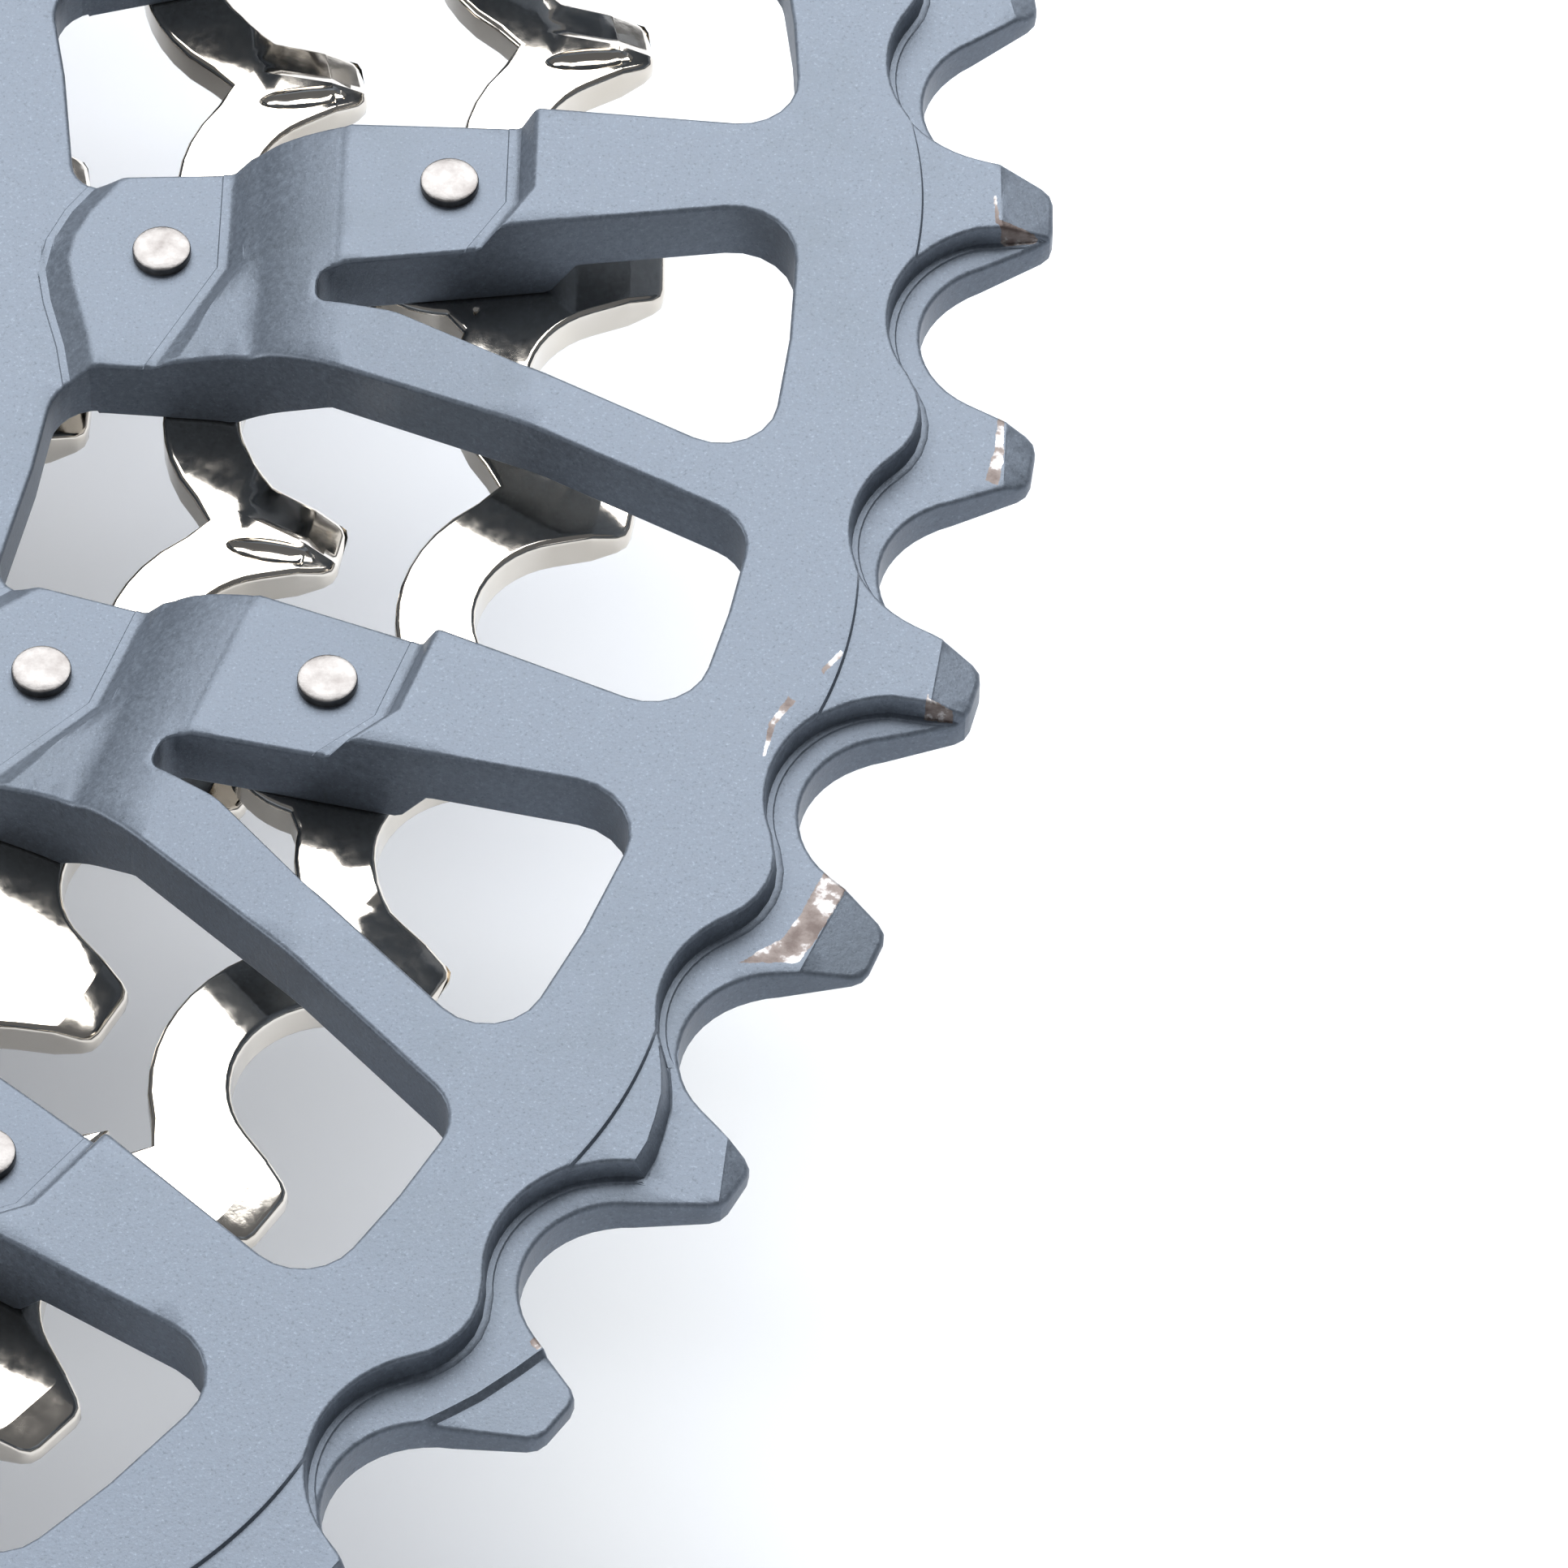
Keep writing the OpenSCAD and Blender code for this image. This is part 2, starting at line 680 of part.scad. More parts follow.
sprocket_52_spider();
sprocket_44();
sprocket_38();
sprocket_32();
sprocket_28();
sprocket_24();
sprocket_21();
sprocket_18();
sprocket_16();
sprocket_14();
sprocket_12();
sprocket_10_nose();
rivets_44();
rivets_38();
rivets_32();
driver_carrier();
rivets_carrier();
pins_32_28();
pins_28_24();
pins_24_21();
pins_21_18();
pins_18_16();
pins_16_14();
pins_14_12();
lock_sleeve();
lock_circlip();
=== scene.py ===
"""Looks of the bicycle cassette: detailed meshes, materials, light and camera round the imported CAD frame.

Lengths are written in millimetres and turned into metres when a mesh is made.
"""

import math

import bpy
import numpy as np
from mathutils import Matrix, Vector
from mathutils.geometry import delaunay_2d_cdt


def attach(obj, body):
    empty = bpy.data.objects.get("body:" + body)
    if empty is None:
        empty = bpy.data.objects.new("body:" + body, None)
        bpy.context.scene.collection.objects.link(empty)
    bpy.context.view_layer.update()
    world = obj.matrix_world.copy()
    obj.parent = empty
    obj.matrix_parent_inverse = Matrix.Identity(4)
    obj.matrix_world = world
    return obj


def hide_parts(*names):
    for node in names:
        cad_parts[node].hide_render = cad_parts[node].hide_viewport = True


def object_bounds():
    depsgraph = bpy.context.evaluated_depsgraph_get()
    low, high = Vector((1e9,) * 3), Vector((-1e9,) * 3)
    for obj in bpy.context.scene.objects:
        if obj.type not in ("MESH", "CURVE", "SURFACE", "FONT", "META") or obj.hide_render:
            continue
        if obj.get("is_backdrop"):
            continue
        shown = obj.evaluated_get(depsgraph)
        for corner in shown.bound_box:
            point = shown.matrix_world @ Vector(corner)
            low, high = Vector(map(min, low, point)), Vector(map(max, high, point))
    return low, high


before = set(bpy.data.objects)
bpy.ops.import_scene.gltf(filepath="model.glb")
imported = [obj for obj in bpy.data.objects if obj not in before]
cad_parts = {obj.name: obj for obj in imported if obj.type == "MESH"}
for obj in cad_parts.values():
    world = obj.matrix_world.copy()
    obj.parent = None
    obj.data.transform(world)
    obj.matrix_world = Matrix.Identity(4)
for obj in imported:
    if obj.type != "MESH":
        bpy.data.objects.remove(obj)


def write_size(key, sizes={}):
    low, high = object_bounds()
    sizes[key] = [list(low), list(high)]


write_size("after_load")

MM = 0.001

# ---------------------------------------------------------------- sizes, in millimetres
CHAIN_PITCH = 12.7
SEAT_R = 3.97
TIP_HEIGHT = 1.33
SPROCKET_PITCH = 3.45
STEEL_T = 1.8
RIM_Z = 41.5
RIM_T = 3.1
ARMS = 19
ARM_STEP = 360 / ARMS
TEETH = 52
FIRST_TOOTH = -180 / TEETH
RIM_INNER_R = 95.9
INNER_RING_R = 65.3
PAD_1_Z = RIM_Z - 1.5
PAD_2_Z = RIM_Z - 4.9
RING_Z = RIM_Z - 5.7
RING_BOTTOM_Z = RING_Z - 3.4
POCKET_Z = RIM_Z - 1.2
RIM_BOTTOM_Z = RIM_Z - RIM_T
SPOKES = 14
SPOKE_STEP = 360 / SPOKES
RIVET_R = 1.23
PAD_1_RIVET = (81.23, 1.45)
PAD_2_RIVET = (69.15, 0.18)
BOSS_CIRCLE_R = 56.9
BOSS_R = 3.1
HUB_OUTER_R = 31
HUB_INNER_R = 22
INNER_RING_INNER_R = 53.4
CARRIER_RIVET_CIRCLE_R = 26.2
CARRIER_FLANGE_T = 2.5
NOSE_OUTER_R = 16
SPOKE_HALF_W = 3
LEDGE_W = 1.35
SEAT_HALF_ANGLE = 65
PIN_R = 1.1
# Pins of each joint of the dome, by the teeth of its smaller sprocket: how many, and the angle of the first.
PIN_JOINTS = {28: (14, 0), 24: (12, 15), 21: (12, 0), 18: (10, 18), 16: (9, 0), 14: (8, 22.5), 12: (6, 0)}


def pitch_r(n):
    return CHAIN_PITCH / 2 / math.sin(math.pi / n)


def root_r(n):
    return pitch_r(n) - SEAT_R


def tip_r(n):
    return pitch_r(n) + TIP_HEIGHT


def mid_z(place):
    return (POCKET_Z + RIM_BOTTOM_Z) / 2 - place * SPROCKET_PITCH


def top_z(place):
    return mid_z(place) + STEEL_T / 2


def bottom_z(place):
    return mid_z(place) - STEEL_T / 2


def pin_circle_r(smaller):
    return root_r(smaller) - 2.6


# ---------------------------------------------------------------- plane geometry
def turn(points, degrees):
    """The points turned about the origin, anticlockwise."""
    a = math.radians(degrees)
    p = np.asarray(points, float)
    x, y = p[..., 0], p[..., 1]
    return np.stack([x * math.cos(a) - y * math.sin(a), x * math.sin(a) + y * math.cos(a)], -1)


def polar(r, degrees):
    a = np.radians(degrees)
    return np.stack([r * np.cos(a), r * np.sin(a)], -1)


def circle(radius, centre=(0, 0), steps=48):
    return polar(radius, np.arange(steps) * 360 / steps) + np.asarray(centre, float)


def rounded(corners, steps=6):
    """Closed polygon from (point, radius) corners, each rounded with an arc."""
    out = []
    n = len(corners)
    points = [np.asarray(c[0], float) for c in corners]
    for i, (_, radius) in enumerate(corners):
        p, before, after = points[i], points[i - 1], points[(i + 1) % n]
        if radius == 0:
            out.append(p)
            continue
        to_b, to_a = before - p, after - p
        u, v = to_b / np.linalg.norm(to_b), to_a / np.linalg.norm(to_a)
        half = math.acos(max(-1, min(1, float(u @ v)))) / 2
        tangent = min(radius / math.tan(half), 0.48 * np.linalg.norm(to_b), 0.48 * np.linalg.norm(to_a))
        r = tangent * math.tan(half)
        w = u + v
        centre = p + w / np.linalg.norm(w) * r / math.sin(half)
        start, end = p + u * tangent - centre, p + v * tangent - centre
        by = math.degrees(math.atan2(start[0] * end[1] - start[1] * end[0], float(start @ end)))
        out.extend(centre + turn(start, by * k / steps) for k in range(steps + 1))
    return np.array(out)


def densified(loop, longest, closed=True):
    """The polyline with long segments split so that none is longer than the given length."""
    points = np.asarray(loop, float)
    out = []
    count = len(points) if closed else len(points) - 1
    for i in range(count):
        a, b = points[i], points[(i + 1) % len(points)]
        parts = max(1, int(math.ceil(np.linalg.norm(b - a) / longest)))
        out.extend(a + (b - a) * k / parts for k in range(parts))
    if not closed:
        out.append(points[-1])
    return np.array(out)


def half_gap(n, lean=0.0):
    """One side of a tooth gap, from beside the seat's bottom to the tip circle; lean tilts the flank back."""
    r = pitch_r(n)
    f = math.radians(24 + 70 / n + lean)
    seat = math.radians(SEAT_HALF_ANGLE)
    s = np.array([r - SEAT_R * math.cos(seat), SEAT_R * math.sin(seat)])
    d = np.array([math.cos(f), math.sin(f)])
    reach = -(s @ d) + math.sqrt((s @ d) ** 2 - s @ s + tip_r(n) ** 2)
    corner = s + reach * d
    corner_angle = math.degrees(math.atan2(corner[1], corner[0]))
    blend = min(0.5, reach * 0.4)
    arc = [[r - SEAT_R * math.cos(seat * i / 8), SEAT_R * math.sin(seat * i / 8)] for i in range(1, 9)]
    low = s + (reach - blend) * d
    high = polar(tip_r(n), corner_angle + math.degrees(blend / tip_r(n)))
    middle = low * 0.27 + corner * 0.46 + high * 0.27
    return np.array(arc + [low, middle, high])


def sprocket_outline(n, gap_angle=0.0, lean=0.0):
    side, leaning = half_gap(n), half_gap(n, lean)
    out = []
    for i in range(n):
        a = gap_angle + i * 360 / n
        out.append(turn(side[::-1] * [1, -1], a))
        out.append(turn([[root_r(n), 0]], a))
        out.append(turn(leaning, a))
    return np.concatenate(out) * (1 - 3e-5)


def band_outline(n, band, cusp_r, gap_angle):
    r, disc, half = pitch_r(n), SEAT_R + band, 180 / n
    out = []
    for i in range(n):
        for j in range(-6, 6):
            a = math.radians(half * j / 6)
            along = r * math.cos(a) - math.sqrt(disc**2 - (r * math.sin(a)) ** 2)
            out.append(polar(min(along, cusp_r), gap_angle + i * 360 / n + math.degrees(a)))
    return np.array(out)


def offset(loop, distance):
    """The closed loop moved to its left by the distance."""
    p = np.asarray(loop, float)
    forward = np.roll(p, -1, 0) - p
    forward /= np.maximum(np.linalg.norm(forward, axis=1), 1e-9)[:, None]
    normal = np.stack([-forward[:, 1], forward[:, 0]], -1)
    both = normal + np.roll(normal, 1, 0)
    size = np.maximum((both**2).sum(1), 0.8)
    return p + both * (2 / size)[:, None] * distance


def signed_area(loop):
    x, y = loop[:, 0], loop[:, 1]
    return 0.5 * float((x * np.roll(y, -1) - np.roll(x, -1) * y).sum())


def segment_distance(points, starts, ends):
    """Distance of every point to the nearest of the segments."""
    d = ends - starts
    length = np.maximum((d**2).sum(1), 1e-12)
    best = np.full(len(points), 1e9)
    for low in range(0, len(points), 4000):
        p = points[low : low + 4000, None, :]
        t = np.clip(((p - starts) * d).sum(2) / length, 0, 1)
        gap = p - (starts + t[..., None] * d)
        best[low : low + 4000] = np.sqrt((gap**2).sum(2)).min(1)
    return best


def inside(points, loop):
    """Which points are inside the closed loop."""
    x, y = points[:, 0][:, None], points[:, 1][:, None]
    x0, y0 = loop[:, 0], loop[:, 1]
    x1, y1 = np.roll(x0, -1), np.roll(y0, -1)
    with np.errstate(divide="ignore", invalid="ignore"):
        crosses = ((y0 > y) != (y1 > y)) & (x < (x1 - x0) * (y - y0) / (y1 - y0) + x0)
    return crosses.sum(1) % 2 == 1


def signed_distance(points, loop):
    """Distance to a closed loop, positive inside it."""
    out = np.empty(len(points))
    for low in range(0, len(points), 4000):
        part = points[low : low + 4000]
        d = segment_distance(part, loop, np.roll(loop, -1, 0))
        out[low : low + 4000] = np.where(inside(part, loop), d, -d)
    return out


def cross(a, b):
    return a[..., 0] * b[..., 1] - a[..., 1] * b[..., 0]


def edge_distance(points, starts, ends):
    """Distance of every point to the nearest segment, sector by sector; beyond 3 mm it only has to stay large."""
    middle = (starts + ends) / 2
    a_seg = np.degrees(np.arctan2(middle[:, 1], middle[:, 0])) % 360
    a_pt = np.degrees(np.arctan2(points[:, 1], points[:, 0])) % 360
    out = np.full(len(points), 9.0)
    for low in range(0, 360, 6):
        chosen = (a_pt >= low) & (a_pt < low + 6)
        near = ((a_seg - low + 4) % 360) < 14
        if chosen.any() and near.any():
            out[chosen] = segment_distance(points[chosen], starts[near], ends[near])
    return out


def rounding(d, radius):
    """How far a rounded edge lies under its face, at a distance from the edge."""
    t = np.clip(1 - d / radius, 0, 1)
    return radius * (1 - np.sqrt(np.maximum(1 - t * t, 0)))


# ---------------------------------------------------------------- meshes
def mesh_object(name, vertices, faces, smooth_angle=32):
    mesh = bpy.data.meshes.new(name)
    mesh.from_pydata((np.asarray(vertices) * MM).tolist(), [], faces)
    mesh.validate()
    mesh.update()
    mesh.shade_smooth()
    mesh.set_sharp_from_angle(angle=math.radians(smooth_angle))
    ob = bpy.data.objects.new(name, mesh)
    bpy.context.scene.collection.objects.link(ob)
    weighted = ob.modifiers.new("weighted", "WEIGHTED_NORMAL")
    weighted.keep_sharp = True
    weighted.weight = 90
    return ob


def triangulated(loops, lines, member=None):
    """Triangles of the region that loops bound, with every line as an edge.

    The region is inside the first loop and outside the rest, or what member(centres) says.
    Returns the points, the triangles and the directed border edges."""
    coords, edges = [], []

    def add(points, closed):
        base = len(coords)
        coords.extend(map(tuple, points))
        count = len(points)
        edges.extend((base + i, base + i + 1) for i in range(count - 1))
        if closed:
            edges.append((base + count - 1, base))

    for loop in loops:
        add(loop, True)
    border_count = len(edges)
    for line, closed in lines:
        add(line, closed)
    points, out_edges, faces, _, edge_ids, _ = delaunay_2d_cdt(
        [Vector(c) for c in coords], edges, [], 0, 1e-5, True
    )
    points = np.array([tuple(p) for p in points])
    faces = np.array(faces)
    border = {(min(e), max(e)) for e, ids in zip(out_edges, edge_ids) if any(i < border_count for i in ids)}
    # triangles that meet at an edge that is no border are in one patch
    owner, parent = {}, list(range(len(faces)))

    def find(i):
        while parent[i] != i:
            parent[i] = parent[parent[i]]
            i = parent[i]
        return i

    for t, (a, b, c) in enumerate(faces.tolist()):
        for e in ((a, b), (b, c), (c, a)):
            key = e if e[0] < e[1] else (e[1], e[0])
            if key in border:
                continue
            other = owner.setdefault(key, t)
            if other != t:
                parent[find(t)] = find(other)
    labels = np.array([find(i) for i in range(len(faces))])
    corner = points[faces]
    area = np.abs(cross(corner[:, 1] - corner[:, 0], corner[:, 2] - corner[:, 0]))
    keep = np.zeros(len(faces), bool)
    for label in np.unique(labels):
        patch = np.nonzero(labels == label)[0]
        probe = corner[patch[np.argmax(area[patch])]].mean(0)[None]
        if member is not None:
            keep[patch] = member(probe)[0]
        elif inside(probe, loops[0])[0] and not any(inside(probe, hole)[0] for hole in loops[1:]):
            keep[patch] = True
    faces = faces[keep & (area > 1e-9)]
    corner = points[faces]
    flip = cross(corner[:, 1] - corner[:, 0], corner[:, 2] - corner[:, 0]) < 0
    faces[flip] = faces[flip][:, ::-1]
    used = np.unique(faces)
    renumber = np.full(len(points), -1)
    renumber[used] = np.arange(len(used))
    faces = renumber[faces]
    directed = np.concatenate([faces[:, [0, 1]], faces[:, [1, 2]], faces[:, [2, 0]]])
    seen = {tuple(e) for e in directed.tolist()}
    rim = np.array([e for e in seen if (e[1], e[0]) not in seen])
    return points[used], faces, rim


def plate(name, loops, lines, top, bottom, edge_r=0.2, member=None, rings=(0.12, 0.4, 1.0), sides=None):
    """A closed body between two height functions of points, with rounded edges along its whole border."""
    extra = []
    for i, loop in enumerate(loops):
        # material lies on one side of each loop; sides says which where it isn't the usual one
        inward = 1 if (signed_area(loop) > 0) == (i == 0) else -1
        if sides is not None:
            inward = sides[i] * (1 if signed_area(loop) > 0 else -1)
        for share in rings:
            extra.append((offset(loop, inward * edge_r * share), True))
    points, faces, rim = triangulated(loops, extra + list(lines), member)
    d = edge_distance(points, points[rim[:, 0]], points[rim[:, 1]])
    high = top(points) - rounding(d, edge_r)
    low = bottom(points) + rounding(d, edge_r)
    n = len(points)
    vertices = np.concatenate([np.column_stack([points, high]), np.column_stack([points, low])])
    walls = np.column_stack([rim[:, 1], rim[:, 0], rim[:, 0] + n, rim[:, 1] + n])
    every = faces.tolist() + (faces[:, ::-1] + n).tolist() + walls.tolist()
    return mesh_object(name, vertices, every)


def turned(name, profile, places, steps=48):
    """Bodies of revolution at each (x, y, spin), all one object. The profile is (r, z) from bottom axis to top axis."""
    vertices, faces = [], []
    for x, y, spin in places:
        base = len(vertices)
        for r, z in profile:
            for k in range(steps):
                a = 2 * math.pi * k / steps + math.radians(spin)
                vertices.append((x + r * math.cos(a), y + r * math.sin(a), z))
        count = len(profile)
        for i in range(count - 1):
            j = i + 1
            for k in range(steps):
                m = (k + 1) % steps
                faces.append((base + i * steps + k, base + i * steps + m, base + j * steps + m, base + j * steps + k))
        faces.append(tuple(base + k for k in range(steps))[::-1])
        faces.append(tuple(base + (count - 1) * steps + k for k in range(steps)))
    return mesh_object(name, np.array(vertices), faces)


# ---------------------------------------------------------------- spider
BRACE_WINDOW = rounded(
    [
        ([75.9, -3.0], 0.7),
        ([75.9, -4.5], 0.7),
        ([79.2, -5.6], 4),
        ([84.5, -9.1], 8),
        ([94.75, -14.4], 2.8),
        (polar(RIM_INNER_R, -4.5), 0),
        ([RIM_INNER_R, -0.2], 2.6),
    ]
)
ARM_WINDOW = rounded(
    [
        (polar(INNER_RING_R, -9.5), 0),
        ([65.1, -5.9], 2),
        ([73, -6.3], 8),
        ([94.3, -17.35], 2.2),
        (polar(RIM_INNER_R + 0.05, -13.2), 0),
        (turn([95.85, 3.9], -ARM_STEP), 2.4),
        (turn([83.5, 4.75], -ARM_STEP), 20),
        (turn([74, 4.8], -ARM_STEP), 20),
        (turn([65.2, 4.3], -ARM_STEP), 1.5),
    ]
)
SPOKE_WINDOW = rounded(
    [
        (turn([HUB_OUTER_R, SPOKE_HALF_W], -SPOKE_STEP / 2), 1.5),
        (turn([INNER_RING_INNER_R, SPOKE_HALF_W], -SPOKE_STEP / 2), 4),
        (turn([INNER_RING_INNER_R, -SPOKE_HALF_W], SPOKE_STEP / 2), 4),
        (turn([HUB_OUTER_R, -SPOKE_HALF_W], SPOKE_STEP / 2), 1.5),
    ]
)
# Foot lines of the two slanted steps: the straight part's place, where the slant starts, and its angle.
STEP_1_FOOT = (83.95, (83.95, 0.5), -31)
STEP_2_FOOT = (71.85, (71.85, -0.6), -27)
# Heights against the distance from a step's foot, which has a thin raised lip on its low side.
STEP_1 = ([-0.36, -0.31, 0.0, 0.2, 0.72, 0.86, 1.0], [0, 0.05, 0.05, 0.17, 1.27, 1.44, 1.5])
STEP_2 = ([-0.36, -0.31, 0.0, 0.2, 0.85, 1.0, 1.5], [0, 0.05, 0.05, 0.15, 0.98, 1.1, 1.45])
PAD_3_STEP = (
    [-1.3, -1.25, -0.95, -0.1, 0.05, 0.22],
    [RING_Z, RING_Z + 0.05, RING_Z + 0.05, PAD_2_Z - 0.12, PAD_2_Z - 0.03, PAD_2_Z],
)
# The ground beside the slanted end of the second pad falls away towards the axis.
FALL = 0.28
CLIMB_START = 73.3
# Line between an arm and its brace, and the inner end of the window between them.
BRACE_Y = -3.8
WINDOW_X = 75.9
# Heights along the arm: the arm's slope, the brace's ramp, and what lies under each.
SLOPE = (
    [73.3, 73.65, 74, 74.5, 75, 75.5, 76, 76.5, 77, 77.7],
    [38.05, 38.34, 38.61, 38.9, 39.17, 39.39, 39.6, 39.78, 39.92, PAD_1_Z],
)
RAMP = (
    [73.3, 73.65, 74, 74.5, 75, 75.5, 76, 76.5, 77, 84.4, 85, 85.6],
    [38.05, 38.34, 38.61, 38.9, 39.17, 39.39, 39.6, 39.76, 39.9, 41.36, 41.46, RIM_Z],
)
UNDER_ARM = (
    [72.2, 72.6, 76.4, 76.7, 85.3, 85.6, 86.6, 86.9],
    [33.35, 33.45, 36.62, 36.8, 36.8, 36.95, 38.36, RIM_BOTTOM_Z],
)
UNDER_BRACE = (
    [72.2, 72.6, 76.4, 76.7, 85.1, 85.7],
    [33.35, 33.45, 36.62, 36.84, 38.34, RIM_BOTTOM_Z],
)
# Inner and outer radius of the recess round the inner ring's lower edge, and its height.
TAB_RECESS = (64.5, 67, 33.5)
PAD_3_EDGE = np.array([
    [68.3, 6.3], [67.1, 4.1], [66, 2.5], [65.4, 1.1], [65.2, -0.2],
    [65.5, -1.7], [66.2, -4.1], [66.6, -6.2], [66.8, -8.4],
])
POCKET_WALL = ([-0.01, 0.0, 0.07, 0.3, 0.36], [0, 0.18, 1.12, 1.15, 1.2])


def arm_angle(i):
    return FIRST_TOOTH - i * ARM_STEP


def on_arms(shape):
    return [turn(shape, arm_angle(i)) for i in range(ARMS)]


def arm_frame(points):
    """The points in the frame of the arm that they belong to."""
    a = np.degrees(np.arctan2(points[:, 1], points[:, 0])) - FIRST_TOOTH
    local = a % ARM_STEP
    local = np.where(local > 5, local - ARM_STEP, local)
    r = np.hypot(points[:, 0], points[:, 1])
    return r * np.cos(np.radians(local)), r * np.sin(np.radians(local))


def slanted(x, y, foot, at, degrees):
    """Distance beyond a step's foot line, which is straight across the arm and then slanted."""
    a = math.radians(degrees)
    return np.maximum(x - foot, (x - at[0]) * math.cos(a) + (y - at[1]) * math.sin(a))


def slanted_line(foot, at, degrees, s, high_y, length):
    """The foot line itself, moved outward by s."""
    a = math.radians(degrees)
    normal, along = np.array([math.cos(a), math.sin(a)]), np.array([math.sin(a), -math.cos(a)])
    start = np.array(at) + normal * s
    corner = start + along * (foot + s - start[0]) / along[0]
    return np.array([[foot + s, high_y], corner, start + along * length])


def edge_side(x, y, line):
    """Signed distance to an open line, positive on the side away from the axis."""
    p = np.column_stack([x, y])
    d = segment_distance(p, line[:-1], line[1:])
    edge_x = np.interp(-y, -line[:, 1], line[:, 0])
    return np.where(x > edge_x, d, -d)


def pocket_outline():
    r, half = pitch_r(TEETH), 180 / TEETH
    reach = SEAT_R + LEDGE_W
    near_seat = polar(r, -half) + [0, LEDGE_W]
    far_seat = polar(r, half)
    out = [polar(tip_r(TEETH) + 1.5, -half)]
    out += [near_seat + polar(reach, 180 + t) for t in np.linspace(85, -40, 22)]
    out += [np.array(p) for p in ([101.3, -1.0], [101.58, -0.3], [101.7, 0.5], [101.66, 1.2], [101.42, 2.0])]
    out += [far_seat + polar(reach, 180 + t) for t in np.linspace(40, -SEAT_HALF_ANGLE, 19)]
    out += [far_seat + polar(reach, 180 - SEAT_HALF_ANGLE) + polar(s, 12) for s in (1, 2, 3, 4, 5)]
    return np.array(out)


POCKET = pocket_outline()
# Arc of the step on a wide tooth: its centre's place along the tooth, and its radius.
WIDE_STEP = (82.28, 18.7)

# What is cut from the tooth faces: a line across the tooth in the tooth's frame, and the height lost beyond
# it at the distances given.
TOOTH_CUTS = {
    "wide_tip": (((104.25, 2.4), (104.35, -1.6)), ((0, 0.08, 2.4), (0, 0.05, 0.98))),
    "wide_tip_slanted": (((104.6, 2.2), (105.0, -1.6)), ((0, 0.08, 2.0), (0, 0.06, 0.75))),
    "gate": (
        ((101.0, 3.7), (101.6, 2.8), (102.1, 1.9), (102.45, 0.8), (102.75, -0.4), (102.8, -1.6)),
        ((0, 0.06, 0.4, 0.5), (0, 0.06, 0.94, 1.0)),
    ),
    "gate_tip": (((105.1, 1.9), (106.5, -1.5)), ((0, 0.08, 1.2), (0, 0.06, 0.5))),
    "narrow_tip": (((105.1, 2.4), (105.5, -1.9)), ((0, 0.08, 1.4), (0, 0.05, 0.62))),
    "narrow_big": (((104.35, 3.0), (104.15, -2.2)), ((0, 0.08, 2.4), (0, 0.05, 0.85))),
    "narrow_step": (
        ((104.3, 2.9), (103.84, 0.87), (103.36, -0.88), (102.89, -2.06), (102.3, -3.4)),
        ((0, 0.05, 0.2, 0.26), (0, 0.05, 0.24, 0.28)),
    ),
}
# The cuts of the first six teeth, counted from the first wide tooth. Even teeth are wide.
TOOTH_KINDS = {
    0: ("wide_tip",),
    1: ("narrow_tip",),
    2: ("wide_tip_slanted",),
    3: ("narrow_big",),
    4: ("gate", "gate_tip"),
    5: ("narrow_step",),
}


def cuts_of(k):
    """Teeth repeat in runs that leave the shifting gates where a real sprocket spreads them."""
    k = k % TEETH
    if k in TOOTH_KINDS:
        return TOOTH_KINDS[k]
    run = k % 13
    if k % 2:
        return ("narrow_big",) if run in (3, 4) else ("narrow_step",) if run == 5 else ("narrow_tip",)
    return ("gate", "gate_tip") if run == 4 else ("wide_tip_slanted",) if k % 4 == 2 else ("wide_tip",)


def tooth_frame(points):
    """The nearest tooth's number and the points in that tooth's frame."""
    a = np.degrees(np.arctan2(points[:, 1], points[:, 0]))
    k = np.round((FIRST_TOOTH - a) * TEETH / 360).astype(int)
    local = np.radians(a - FIRST_TOOTH + k * 360 / TEETH)
    r = np.hypot(points[:, 0], points[:, 1])
    return k % TEETH, r * np.cos(local), r * np.sin(local)


def widening(line):
    """How much longer a line is than it is wide across the tooth."""
    (x0, y0), (x1, y1) = line[0], line[-1]
    return math.hypot(x1 - x0, y1 - y0) / abs(y1 - y0)


def beyond(line, x, y):
    """Distance past a line that crosses the tooth, on its outer side."""
    line = np.array(line)
    return (x - np.interp(-y, -line[:, 1], line[:, 0])) / widening(line)


def rim_face(points):
    """Height of the rim and its teeth."""
    k, x, y = tooth_frame(points)
    wide = k % 2 == 0
    out = np.full(len(points), RIM_Z)
    past = np.hypot(x - WIDE_STEP[0], y) - WIDE_STEP[1]
    out -= np.where(wide, np.interp(past, [-0.1, 0, 0.08], [0, 0.02, 0.2]), 0)
    # every point is within one tooth of a pocket's own tooth
    narrow = np.where(wide, k + np.where(y < 0, 1, -1), k)
    a = np.arctan2(points[:, 1], points[:, 0]) - np.radians(FIRST_TOOTH - narrow * 360 / TEETH)
    r = np.hypot(points[:, 0], points[:, 1])
    local = np.column_stack([r * np.cos(a), r * np.sin(a)])
    within = signed_distance(local, POCKET)
    cut = np.zeros(len(points))
    for tooth in range(TEETH):
        mine = k == tooth
        for kind in cuts_of(tooth):
            line, (far, lost) = TOOTH_CUTS[kind]
            cut[mine] += np.interp(beyond(line, x[mine], y[mine]), far, lost)
    # a wide tooth's facet stays above the ledge beside it, a narrow tooth's facet goes down from the pocket's floor
    out -= np.where(cut > 0.9, 0, rounding(np.clip(-within, 0, 9), 0.18)) + np.where(wide, cut, 0)
    floor = RIM_Z - np.interp(within, *POCKET_WALL) - np.where(wide, 0, cut)
    return np.where(within > 0, np.minimum(out, floor), out)


